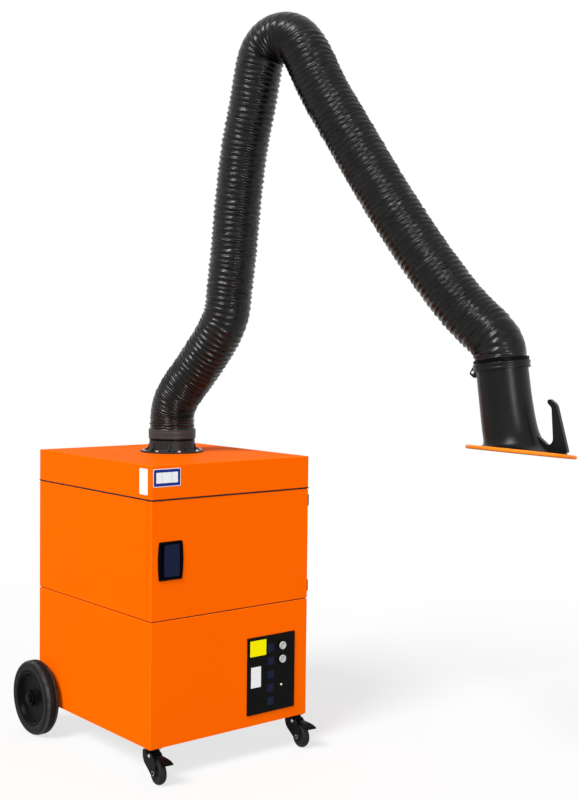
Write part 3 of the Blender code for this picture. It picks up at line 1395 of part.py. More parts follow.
def hose_stretch(name, line, distance, start, end):
    """A ribbed stretch of hose with its bore, square and straight at both ends."""
    first, first_way = at_distance(line, distance, start)
    last, last_way = at_distance(line, distance, end)
    half_gap = FIT / 2
    ribs = max(2, round((end - start) / HOSE_RIB_PITCH))
    pitch = (end - start) / ribs
    points = [first + first_way * half_gap]
    shares = [HOSE_ROOT_SHARE]
    for number in range(ribs):
        crest = start + pitch * (2 * number + 1) / 2
        points.append(at_distance(line, distance, crest)[0])
        shares.append(1.0)
        if number < ribs - 1:
            points.append(at_distance(line, distance, crest + pitch / 2)[0])
            shares.append(HOSE_ROOT_SHARE)
    points[1] = first + first_way * pitch / 2
    points[-1] = last - last_way * pitch / 2
    points.append(last - last_way * half_gap)
    shares.append(HOSE_ROOT_SHARE)
    wall = tube(name, [(place.x, 0, place.y) for place in points], HOSE_RADIUS, BLACK_FABRIC, shares)

    count = max(2, round((end - start) / HOSE_BORE_PITCH))
    spacing = (end - start) / count
    middle = [at_distance(line, distance, start + spacing * number)[0] for number in range(1, count)]
    inside = [first - first_way * OVERRUN, first + first_way * HOSE_END_STRAIGHT] + middle
    inside += [last - last_way * HOSE_END_STRAIGHT, last + last_way * OVERRUN]
    bore = tube(f"{name}_bore", [(place.x, 0, place.y) for place in inside], HOSE_BORE_RADIUS)
    cut(wall, bore)
    into_frame(ARM_FRAME, wall, bore)
    return wall


def hose():
    """Five stretches: bends at the shoulder, elbow and wrist, and two carried by the links."""
    line, distance = hose_route()
    marks = [
        0.0,
        nearest_distance(line, distance, beside(SHOULDER, ELBOW, LOWER_HOSE_START, 0)),
        nearest_distance(line, distance, beside(SHOULDER, ELBOW, LOWER_HOSE_END, 0)),
        nearest_distance(line, distance, beside(ELBOW, WRIST, FOREARM_HOSE_START, 0)),
        nearest_distance(line, distance, beside(ELBOW, WRIST, FOREARM_HOSE_END, 0)),
        distance[-1],
    ]
    names = ("hose_shoulder_bend", "hose_lower_arm", "hose_elbow_bend", "hose_forearm", "hose_wrist_bend")
    return [
        hose_stretch(name, line, distance, start, end) for name, start, end in zip(names, marks, marks[1:])
    ]


def hood_ring(drop, growth, shift, slope, extra=0.0):
    """One oval section of the hood in its own frame, sloped towards the rim."""
    height = -FIT - drop * RIM_DROP
    half_x = NECK_RADIUS + growth * (RIM_HALF_LENGTH - NECK_RADIUS) + extra
    half_y = NECK_RADIUS + growth * (RIM_HALF_WIDTH - NECK_RADIUS) + extra
    fall = math.tan(math.radians(RIM_SLOPE) * slope)
    lean = math.tan(math.radians(RIM_LEAN) * slope)
    points = []
    for number in range(HOOD_SIDES):
        angle = math.tau * number / HOOD_SIDES
        across = half_x * math.cos(angle)
        side = half_y * math.sin(angle)
        points.append(Vector((shift * RIM_CENTRE_X + across, side, height - fall * across - lean * side)))
    return points


def hood_loft(name, extra, look=None):
    """Skin through the hood's oval sections; closed by flat ends when it is a cutter."""
    sketch = bmesh.new()
    rings = [[sketch.verts.new(point) for point in hood_ring(*shares, extra)] for shares in FLARE_SHARES]
    for upper, lower in zip(rings, rings[1:]):
        for number in range(HOOD_SIDES):
            after = (number + 1) % HOOD_SIDES
            sketch.faces.new((upper[number], lower[number], lower[after], upper[after]))
    if look is None:
        sketch.faces.new(rings[0])
        sketch.faces.new(rings[-1][::-1])
    mesh = bpy.data.meshes.new(name)
    sketch.to_mesh(mesh)
    sketch.free()
    return smooth(add_object(name, mesh, look))


def hood():
    """Wrist ring with its yoke, hood, rim trim and handle."""
    up = neck_axis()
    top = Vector(WRIST) - up * WRIST_DROP
    neck = Matrix.Translation((top.x, 0, top.y)) @ Matrix.Rotation(math.radians(-NECK_TILT), 4, "Y")
    frame = ARM_FRAME @ neck

    spigot = hose_inner()
    inner = spigot - SLEEVE_WALL
    sleeve = NECK_RADIUS - HOOD_WALL - SLIDE_FIT
    spigot_top = WRIST_RING_HEIGHT + HOSE_END_STRAIGHT
    ring_profile_points = [
        (spigot, spigot_top), (spigot, WRIST_RING_HEIGHT), (WRIST_RING_RADIUS, WRIST_RING_HEIGHT),
        (WRIST_RING_RADIUS, 0), (sleeve, 0), (sleeve, -SLEEVE_DEPTH), (inner, -SLEEVE_DEPTH),
        (inner, spigot_top),
    ]
    ring = turned("wrist_ring", ring_profile_points, BLACK_PLASTIC)
    reach = inner + SLEEVE_WALL / 2
    bar = box(
        "wrist_bar", (-reach, -CROSS_BAR_WIDTH / 2, 0), (reach, CROSS_BAR_WIDTH / 2, CROSS_BAR_THICKNESS)
    )
    into_frame(frame, ring, bar)
    stem_foot = top + up * CROSS_BAR_THICKNESS / 2
    stem = side_bar("wrist_stem", WRIST, stem_foot, 1, None, end_bolt=False)
    join(ring, bar, stem)

    body = hood_loft("hood_body", 0.0, BLACK_PLASTIC)
    shell = body.modifiers.new("wall", "SOLIDIFY")
    shell.thickness = HOOD_WALL
    shell.offset = -1

    edge = hood_ring(*FLARE_SHARES[-1], RIM_TRIM_RADIUS + FIT)
    trim = tube("hood_rim", edge, RIM_TRIM_RADIUS, ORANGE, cyclic=True)

    outline = [
        HANDLE_NOTCH, HANDLE_INNER_FOOT, HANDLE_INNER_TOP, HANDLE_HOOK_UNDER, HANDLE_HOOK_TIP,
        HANDLE_HOOK_TOP,
        HANDLE_SHOULDER, HANDLE_HEEL, HANDLE_TOE, HANDLE_NECK_SIDE,
    ]
    handle = prism("hood_handle", outline, HANDLE_THICKNESS, BLACK_PLASTIC, (0, 0, 0), UPRIGHT)
    envelope = hood_loft("hood_envelope", FIT)
    cut(handle, envelope)
    into_frame(frame, body, trim, handle, envelope)
    return frame, ring, (body, trim, handle)


def arm():
    """The hose arm: turntable, two links, hose, wrist ring and hood on their joints."""
    arm_flange()
    turntable, clamp = arm_turntable()
    lower_link = side_bar("lower_link", SHOULDER, ELBOW, 1, ALUMINIUM)
    forearm_link = side_bar("forearm_link", ELBOW, WRIST, -1, ALUMINIUM)
    shoulder_bend, lower_hose, elbow_bend, forearm_hose, wrist_bend = hose()
    frame, ring, hood_pieces = hood()

    turn = ARM_FRAME.to_quaternion().to_matrix().to_4x4()
    swivel = pivot("arm_swivel", ARM_FRAME.to_translation(), None, turn)
    shoulder = pivot("shoulder_pivot", ARM_FRAME @ Vector((SHOULDER[0], 0, SHOULDER[1])), swivel, turn)
    elbow = pivot("elbow_pivot", ARM_FRAME @ Vector((ELBOW[0], 0, ELBOW[1])), shoulder, turn)
    wrist = pivot("wrist_pivot", ARM_FRAME @ Vector((WRIST[0], 0, WRIST[1])), elbow, turn)
    spin = pivot("hood_spin", frame.to_translation(), wrist, frame.to_quaternion().to_matrix().to_4x4())
    hang(swivel, turntable, clamp)
    hang(shoulder, lower_link, lower_hose, shoulder_bend)
    hang(elbow, forearm_link, forearm_hose, elbow_bend)
    hang(wrist, ring, wrist_bend)
    hang(spin, *hood_pieces)


def main():
    """Build the whole extractor."""
    base_housing()
    base_floor()
    partition_plate()
    filter_housing()
    lid()
    filter_set()
    door(pivot("door_pivot", (HINGE_X, HINGE_Y, MIDDLE_BOTTOM)))
    controls()
    fan()
    back_fittings()
    rear_wheels()
    caster("left", -1)
    caster("right", 1)
    arm()


main()
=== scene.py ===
"""Finish and detail of a mobile welding fume extractor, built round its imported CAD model.

Metres, +Z up. The origin is the middle of the cabinet's underside and the front faces -Y.
"""

import json
import logging
import math
from collections.abc import Callable, Sequence
from dataclasses import dataclass
from enum import Enum
from typing import ClassVar

import bmesh
import bpy
from mathutils import Matrix, Vector

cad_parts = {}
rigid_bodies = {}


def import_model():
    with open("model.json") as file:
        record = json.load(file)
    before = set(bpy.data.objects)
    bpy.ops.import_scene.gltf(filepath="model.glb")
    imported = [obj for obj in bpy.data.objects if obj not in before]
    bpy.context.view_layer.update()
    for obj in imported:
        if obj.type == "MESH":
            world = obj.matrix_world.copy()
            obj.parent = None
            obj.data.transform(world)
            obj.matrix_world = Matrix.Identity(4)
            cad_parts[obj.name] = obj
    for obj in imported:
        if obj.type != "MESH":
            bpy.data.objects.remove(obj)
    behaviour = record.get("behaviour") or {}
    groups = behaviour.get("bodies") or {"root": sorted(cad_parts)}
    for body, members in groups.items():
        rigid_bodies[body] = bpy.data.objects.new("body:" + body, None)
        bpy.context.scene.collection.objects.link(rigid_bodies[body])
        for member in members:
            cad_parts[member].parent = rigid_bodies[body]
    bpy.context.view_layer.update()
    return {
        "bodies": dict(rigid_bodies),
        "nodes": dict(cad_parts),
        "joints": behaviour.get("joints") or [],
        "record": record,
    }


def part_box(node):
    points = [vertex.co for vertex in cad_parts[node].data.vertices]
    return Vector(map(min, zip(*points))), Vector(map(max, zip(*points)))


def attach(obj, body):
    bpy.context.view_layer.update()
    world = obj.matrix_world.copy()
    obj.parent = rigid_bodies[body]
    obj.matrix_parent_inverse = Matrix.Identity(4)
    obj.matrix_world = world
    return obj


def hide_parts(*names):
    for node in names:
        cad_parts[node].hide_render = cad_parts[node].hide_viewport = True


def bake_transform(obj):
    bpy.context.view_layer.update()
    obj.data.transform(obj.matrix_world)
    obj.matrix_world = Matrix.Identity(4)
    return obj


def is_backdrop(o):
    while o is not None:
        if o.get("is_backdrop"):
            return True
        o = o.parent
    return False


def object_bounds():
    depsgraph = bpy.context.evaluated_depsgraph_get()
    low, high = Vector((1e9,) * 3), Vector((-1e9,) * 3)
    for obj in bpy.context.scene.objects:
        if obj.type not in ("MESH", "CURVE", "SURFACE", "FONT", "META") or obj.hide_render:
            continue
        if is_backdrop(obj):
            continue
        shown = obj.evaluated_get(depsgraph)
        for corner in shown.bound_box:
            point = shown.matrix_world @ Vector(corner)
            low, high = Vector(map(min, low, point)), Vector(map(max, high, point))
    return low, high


LOG = logging.getLogger("fume_extractor")
Colour = tuple[float, float, float]
Place = tuple[float, float, float]
Flat = Sequence[Sequence[float]]
Head = tuple[Place, Place, float]
Node = bpy.types.Node
Socket = bpy.types.NodeSocket
Shape = bmesh.types.BMesh

WHITE = (1.0, 1.0, 1.0, 1.0)
FRONTWARD = (0.0, -1.0, 0.0)
BACKWARD = (0.0, 1.0, 0.0)
MERGE = 0.00001  # points nearer than this are one
CLEAR = 0.0003  # how far a dressed piece stays off the solid behind it
SHARP = math.radians(35)  # a fold above this is an edge to soften


class Body(Enum):
    """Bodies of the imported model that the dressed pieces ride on."""

    CABINET = "cabinet"
    DOOR = "door"
    PADDLE = "latch_paddle"
    START = "start_button"
    STOP = "stop_button"
    LEFT_WHEEL = "rear_left_wheel"
    RIGHT_WHEEL = "rear_right_wheel"
    TURNTABLE = "turntable"
    LOWER_ARM = "lower_arm"
    FOREARM = "forearm"
    WRIST = "wrist"
    HOOD = "hood"


@dataclass(frozen=True)
class Layout:
    """Sizes and places that several sub-assemblies share."""

    half_width: float = 0.31  # half the cabinet's width
    half_depth: float = 0.35  # half its depth
    base_top: float = 0.3885  # top of the lower box
    middle_bottom: float = 0.3915  # bottom of the filter housing and the door
    middle_top: float = 0.7575  # top of the filter housing and the door
    lid_bottom: float = 0.7605  # lower edge of the lid
    lid_top: float = 0.866  # top of the lid
    floor: float = -0.105  # level of the floor that the wheels stand on
    arm: tuple[float, float] = (0.028, 0.041)  # X and Y of the arm's swivel axis
    arm_azimuth: float = -75.0  # direction in which the arm reaches, in degrees
    hood: tuple[float, float] = (1.226815, 0.304565)  # reach and rise of the hood's neck in the arm's frame
    hood_tilt: float = -7.5  # tilt of the neck in that frame, in degrees

    def arm_frame(self) -> Matrix:
        """Matrix from the arm's own frame (+X along its reach) to the world."""
        return Matrix.Translation((*self.arm, self.lid_top)) @ turned(self.arm_azimuth, "Z")

    def hood_frame(self) -> Matrix:
        """Matrix from the hood's frame (origin on top of its neck) to the world."""
        reach, rise = self.hood
        return self.arm_frame() @ Matrix.Translation((reach, 0.0, rise)) @ turned(self.hood_tilt, "Y")


def turned(degrees: float, axis: str) -> Matrix:
    """Matrix of a turn about one of the axes."""
    return Matrix.Rotation(math.radians(degrees), 4, axis)


LAYOUT = Layout()


class Graph:
    """A node tree under construction, with short calls for nodes and links."""

    def __init__(self, tree: bpy.types.NodeTree) -> None:
        """Hold the tree that is being built."""
        self.tree = tree

    def node(self, kind: str, inputs: dict[str | int, object] | None = None, **settings: object) -> Node:
        """Add a node.

        Args:
            kind: Blender's name of the node type.
            inputs: Socket names or numbers, each with a value or a socket to link from.
            settings: Properties of the node.

        Returns:
            The new node.
        """
        made = self.tree.nodes.new(kind)
        for name, value in settings.items():
            setattr(made, name, value)
        self.feed(made, inputs or {})
        return made

    def feed(self, node: Node, inputs: dict[str | int, object]) -> None:
        """Set a node's inputs.

        Args:
            node: The node.
            inputs: Socket names or numbers, each with a value or a socket to link from.
        """
        for key, value in inputs.items():
            if isinstance(value, Socket):
                self.tree.links.new(value, node.inputs[key])
            else:
                node.inputs[key].default_value = value

    def maths(self, operation: str, *values: object) -> Socket:
        """Result of a Math node, from its inputs in order."""
        return self.node("ShaderNodeMath", dict(enumerate(values)), operation=operation).outputs[0]

    def vector(self, operation: str, *values: object) -> Socket:
        """Add a Vector Math node.

        Args:
            operation: The sum that it does.
            values: Its vector inputs, in order, then a scale where the sum takes one.

        Returns:
            The socket of the vector or number that it gives.
        """
        keys = [0, 3] if operation == "SCALE" else [0, 1, 2]
        made = self.node("ShaderNodeVectorMath", dict(zip(keys, values)), operation=operation)
        return made.outputs["Value" if operation in ("DOT_PRODUCT", "LENGTH") else "Vector"]

    def xyz(self, **parts: object) -> Socket:
        """Vector made of its parts X, Y and Z."""
        return self.node("ShaderNodeCombineXYZ", parts).outputs[0]

    def span(self, value: object, low: float, high: float, start: object, end: object) -> Socket:
        """Value carried over from the range low to high into start to end."""
        inputs = {"Value": value, "From Min": low, "From Max": high, "To Min": start, "To Max": end}
        return self.node("ShaderNodeMapRange", inputs).outputs[0]

    def mix(self, share: object, one: object, two: object, kind: str = "FLOAT") -> Socket:
        """Mix of two values, or of two colours where the kind is RGBA."""
        one_in, two_in, out = (6, 7, 2) if kind == "RGBA" else (2, 3, 0)
        return self.node("ShaderNodeMix", {0: share, one_in: one, two_in: two}, data_type=kind).outputs[out]

    def noise(self, place: object, scale: object, detail: float = 3.0) -> Socket:
        """Grey value of a Noise Texture."""
        return self.node("ShaderNodeTexNoise", {"Vector": place, "Scale": scale, "Detail": detail}).outputs[0]

    def streaks(self, place: Socket, scales: Place, detail: float = 1.0) -> Socket:
        """Grey value of a noise with its own scale along each axis."""
        return self.noise(self.vector("MULTIPLY", place, scales), 1.0, detail)

    def drift(self, given: dict[str, Socket], detail: float) -> Socket:
        """Noise about nought, in patches and with a swing that are inputs of the group."""
        cloud = self.noise(given["Place"], self.maths("DIVIDE", 1.0, given["Patch"]), detail)
        return self.maths("MULTIPLY", self.maths("MULTIPLY_ADD", cloud, 2.0, -1.0), given["Amount"])

    def place(self) -> Socket:
        """Object coordinates."""
        return self.node("ShaderNodeTexCoord").outputs["Object"]

    def painted(self, name: str, part: str = "Fac") -> Socket:
        """A mesh attribute, as a material reads it."""
        return self.node("ShaderNodeAttribute", attribute_name=name).outputs[part]

    def stored(self, name: str, kind: str) -> Socket:
        """A mesh attribute, as Geometry Nodes read it."""
        return self.node("GeometryNodeInputNamedAttribute", {"Name": name}, data_type=kind).outputs[0]

    def deliver(self, leave: Node, geometry: Socket, finish: Socket) -> bpy.types.NodeTree:
        """End a Geometry Nodes tree with plain, dressed geometry.

        Args:
            leave: The tree's output node.
            geometry: What it has made.
            finish: Its material.

        Returns:
            The finished tree.
        """
        real = self.node("GeometryNodeRealizeInstances", {"Geometry": geometry}).outputs[0]
        done = self.node("GeometryNodeSetMaterial", {"Geometry": real, "Material": finish}).outputs[0]
        self.feed(leave, {"Geometry": done})
        return self.tree


def new_group(name: str, kind: str, takes: dict[str, tuple], gives: dict[str, str]) -> tuple[Graph, dict, Node]:
    """Start a node group with named inputs and outputs.

    Args:
        name: The group's name.
        kind: ShaderNodeTree or GeometryNodeTree.
        takes: Input names, each with a socket type and, if it has one, a default.
        gives: Output names, each with a socket type.

    Returns:
        The graph, the sockets of the inputs by name, and the output node.
    """
    tree = bpy.data.node_groups.new(name, kind)
    for label, (socket, *default) in takes.items():
        made = tree.interface.new_socket(name=label, in_out="INPUT", socket_type=f"NodeSocket{socket}")
        if default:
            made.default_value = default[0]
    for label, socket in gives.items():
        tree.interface.new_socket(name=label, in_out="OUTPUT", socket_type=f"NodeSocket{socket}")
    graph = Graph(tree)
    entry, leave = graph.node("NodeGroupInput"), graph.node("NodeGroupOutput")
    return graph, {label: entry.outputs[label] for label in takes}, leave


class Effects:
    """Shader groups that several finishes share, each built once."""

    @staticmethod
    def use(graph: Graph, name: str, inputs: dict[str | int, object]) -> Socket:
        """Output of one of this class's groups, placed in a material with its own values."""
        tree = bpy.data.node_groups.get(name) or getattr(Effects, name)()
        return graph.node("ShaderNodeGroup", inputs, node_tree=tree).outputs[0]

    @staticmethod
    def surface_grain() -> bpy.types.NodeTree:
        """Build the relief of a grained, moulded or sprayed surface.

        Returns:
            The group.
        """
        takes = {"Place": ("Vector",), "Grain": ("Float", 0.001), "Waves": ("Float", 0.3)}
        graph, given, leave = new_group("surface_grain", "ShaderNodeTree", takes, {"Height": "Float"})
        fine = graph.noise(given["Place"], graph.maths("DIVIDE", 1.0, given["Grain"]), 2.0)
        broad = graph.noise(given["Place"], graph.maths("DIVIDE", 0.12, given["Grain"]), 1.0)
        graph.feed(leave, {"Height": graph.maths("ADD", fine, graph.maths("MULTIPLY", broad, given["Waves"]))})
        return graph.tree

    @staticmethod
    def tone_drift() -> bpy.types.NodeTree:
        """Build soft patches of lighter and darker tone.

        Returns:
            The group.
        """
        takes = {
            "Colour": ("Color",), "Place": ("Vector",), "Patch": ("Float", 0.1), "Amount": ("Float", 0.05),
        }
        graph, given, leave = new_group("tone_drift", "ShaderNodeTree", takes, {"Colour": "Color"})
        value = graph.maths("ADD", graph.drift(given, 4.0), 1.0)
        shifted = graph.node("ShaderNodeHueSaturation", {"Color": given["Colour"], "Value": value})
        graph.feed(leave, {"Colour": shifted.outputs[0]})
        return graph.tree

    @staticmethod
    def sheen_drift() -> bpy.types.NodeTree:
        """Build a roughness that wanders, as on a handled surface.

        Returns:
            The group.
        """
        takes = {
            "Place": ("Vector",), "Patch": ("Float", 0.1), "Base": ("Float", 0.4), "Amount": ("Float", 0.05),
        }
        graph, given, leave = new_group("sheen_drift", "ShaderNodeTree", takes, {"Roughness": "Float"})
        graph.feed(leave, {"Roughness": graph.maths("ADD", given["Base"], graph.drift(given, 5.0))})
        return graph.tree

    @staticmethod
    def edge_rub_and_highlight() -> bpy.types.NodeTree:
        """Build the lighter, broken line along an edge: rubbing, and on the powder coat and the tyres' shoulders
        a painted highlight.

        Returns:
            The group.
        """
        takes = {
            "Colour": ("Color",), "Rub and highlight tint": ("Color",), "Edge": ("Float", 0.0), "Place": ("Vector",),
            "Patch": ("Float", 0.02), "Amount": ("Float", 0.5),
        }
        graph, given, leave = new_group("edge_rub_and_highlight", "ShaderNodeTree", takes, {"Colour": "Color"})
        cloud = graph.noise(given["Place"], graph.maths("DIVIDE", 1.0, given["Patch"]))
        broken = graph.span(cloud, 0.35, 0.6, 0.25, 1.0)
        mask = graph.maths("MULTIPLY", graph.maths("MULTIPLY", given["Edge"], broken), given["Amount"])
        graph.feed(leave, {"Colour": graph.mix(mask, given["Colour"], given["Rub and highlight tint"], "RGBA")})
        return graph.tree


@dataclass(frozen=True)
class Finish:
    """A surface finish: plain values on the shader, and drifting tone, sheen and relief over them."""

    name: str  # the material's name
    colour: Colour  # base colour
    roughness: float  # mean roughness
    metallic: float = 0.0  # metallic share
    slot: str = ""  # the record's material slot that it belongs to, where that has another name
    specular: float = 0.5  # specular level
    coat: float = 0.0  # weight of a clear coat
    grain: float = 0.0012  # size of the relief's grain
    relief: float = 0.00003  # height of the relief
    tone: float = 0.06  # swing of the tone
    drift: float = 0.06  # swing of the roughness
    patch: float = 0.09  # size of the patches of tone and sheen
    rub_and_highlight_tint: Colour = (0.2, 0.2, 0.2)  # colour of the lighter edges: rubbed, and on some finishes a painted highlight
    rub_and_highlight: float = 0.0  # how strongly edges take that colour

    @property
    def home(self) -> str:
        """Name of the material slot that it belongs to."""
        return self.slot or self.name

    @property
    def base(self) -> tuple[float, float, float, float]:
        """Base colour as a socket takes it."""
        return (*self.colour, 1.0)

    @property
    def sheens(self) -> tuple[float, float]:
        """Lowest and highest roughness."""
        return self.roughness - self.drift, self.roughness + self.drift

    def material(self) -> bpy.types.Material:
        """Make the material, or hand out the one that is made already.

        Returns:
            The material.
        """
        name = f"finish_{self.name}"
        if name in bpy.data.materials:
            return bpy.data.materials[name]
        made = bpy.data.materials.new(name)
        made.use_nodes = True
        made.diffuse_color = self.base
        graph, shader = Graph(made.node_tree), made.node_tree.nodes["Principled BSDF"]
        plain = {"Metallic": self.metallic, "Specular IOR Level": self.specular, "Coat Weight": self.coat}
        graph.feed(shader, plain)
        self.dress(graph, shader)
        return made

    def dress(self, graph: Graph, shader: Node) -> None:
        """Link the colour, roughness and relief.

        Args:
            graph: The material's graph.
            shader: Its Principled BSDF.
        """
        place = graph.place()
        colour = self.toned(graph, place)
        # Lighter edges: rubbing, and on the powder coat and the tyres a painted highlight.
        if self.rub_and_highlight > 0:
            colour = Effects.use(graph, "edge_rub_and_highlight", {
                "Colour": colour, "Rub and highlight tint": (*self.rub_and_highlight_tint, 1.0), "Edge": graph.painted("edge"), "Place": place,
                "Amount": self.rub_and_highlight,
            })
        rough = Effects.use(graph, "sheen_drift", {
            "Place": place, "Patch": self.patch * 0.6, "Base": self.roughness, "Amount": self.drift,
        })
        self.cover(graph, shader, colour, rough, self.height(graph, place))

    def toned(self, graph: Graph, place: Socket) -> Socket:
        """Colour with its soft patches."""
        inputs = {"Colour": self.base, "Place": place, "Patch": self.patch, "Amount": self.tone}
        return Effects.use(graph, "tone_drift", inputs)

    def height(self, graph: Graph, place: Socket) -> Socket:
        """Height of the fine relief, from 0 to about 1."""
        return Effects.use(graph, "surface_grain", {"Place": place, "Grain": self.grain})

    def cover(self, graph: Graph, shader: Node, colour: Socket, rough: Socket, height: Socket) -> None:
        """Feed the shader its colour, its roughness and, through a Bump node, its relief."""
        bump = graph.node("ShaderNodeBump", {"Height": height, "Strength": 1.0, "Distance": self.relief})
        graph.feed(shader, {"Base Color": colour, "Roughness": rough, "Normal": bump.outputs[0]})


@dataclass(frozen=True)
class HoseFabric(Finish):
    """Coated fabric that is glossy and rubbed on the wire's crests and creased between them."""

    crest_colour: Colour = (0.005, 0.005, 0.0052)  # colour of the crests
    crest_roughness: float = 0.13  # their roughness
    rubbed: float = 22.0  # scale of the rubbed patches
    dulled: float = 60.0  # scale of the dull patches
    creases: Place = (1.8, 1.8, 2.4)  # scales of the creases round, round and along the hose
    crinkles: Place = (7.0, 7.0, 6.0)  # scales of the finer crinkles
    crinkled: float = 0.14  # their height as a share of the creases'

    def dress(self, graph: Graph, shader: Node) -> None:
        """Link colour, sheen and creases to the hose's own crest and wrap attributes.

        Args:
            graph: The material's graph.
            shader: Its Principled BSDF.
        """
        place, wrap = graph.place(), graph.painted("wrap", "Vector")
        patches = graph.span(graph.noise(place, self.rubbed, 4.0), 0.35, 0.65, 0.3, 1.0)
        crest = graph.maths("MULTIPLY", graph.painted("crest"), patches)
        colour = graph.mix(crest, self.toned(graph, place), (*self.crest_colour, 1.0), "RGBA")
        dull = graph.span(graph.noise(place, self.dulled, 2.0), 0.3, 0.7, *self.sheens)
        rough = graph.mix(crest, dull, self.crest_roughness)
        crinkle, crease = graph.streaks(wrap, self.crinkles), graph.streaks(wrap, self.creases, 2.0)
        self.cover(graph, shader, colour, rough, graph.maths("MULTIPLY_ADD", crinkle, self.crinkled, crease))


@dataclass(frozen=True)
class Spangle(Finish):
    """Galvanised sheet with its angular zinc flowers."""

    flower: float = 0.012  # size of a flower
    shades: tuple[float, float] = (0.86, 1.1)  # tone of the darkest and the lightest

    def dress(self, graph: Graph, shader: Node) -> None:
        """Link the flowers' tone and sheen.

        Args:
            graph: The material's graph.
            shader: Its Principled BSDF.
        """
        place = graph.place()
        cells = graph.node("ShaderNodeTexVoronoi", {"Vector": place, "Scale": 1.0 / self.flower})
        shade = graph.node("ShaderNodeSeparateColor", {"Color": cells.outputs["Color"]}).outputs[0]
        value = graph.span(shade, 0.0, 1.0, *self.shades)
        tinted = graph.node("ShaderNodeHueSaturation", {"Color": self.base, "Value": value}).outputs[0]
        rough = graph.span(shade, 0.0, 1.0, *reversed(self.sheens))
        self.cover(graph, shader, tinted, rough, self.height(graph, place))


@dataclass(frozen=True)
class Paper(Finish):
    """Pleated filter paper with pressed fibres."""

    FIBRES: ClassVar = ((900.0, 160.0, 900.0), (240.0, 1100.0, 240.0))

    def height(self, graph: Graph, place: Socket) -> Socket:
        """Height of the matted fibres."""
        return graph.maths("ADD", *(graph.streaks(place, scales, 2.0) for scales in self.FIBRES))


@dataclass(frozen=True)
class SparkMesh(Finish):
    """Knitted aluminium wire of the spark screen."""

    def height(self, graph: Graph, place: Socket) -> Socket:
        """Height of the crossing wires.

        Args:
            graph: The material's graph.
            place: Object coordinates.

        Returns:
            The height's socket.
        """
        wires = {"Vector": place, "Scale": 90.0, "Distortion": 1.5, "Detail": 1.0}
        bands = [graph.node("ShaderNodeTexWave", wires, bands_direction=way) for way in ("X", "Y")]
        return graph.maths("MAXIMUM", *(band.outputs["Fac"] for band in bands))


@dataclass(frozen=True)
class Label(Finish):
    """Smooth printed film of a blank field."""

    grain: float = 0.0009
    relief: float = 0.00001
    tone: float = 0.03
    patch: float = 0.02


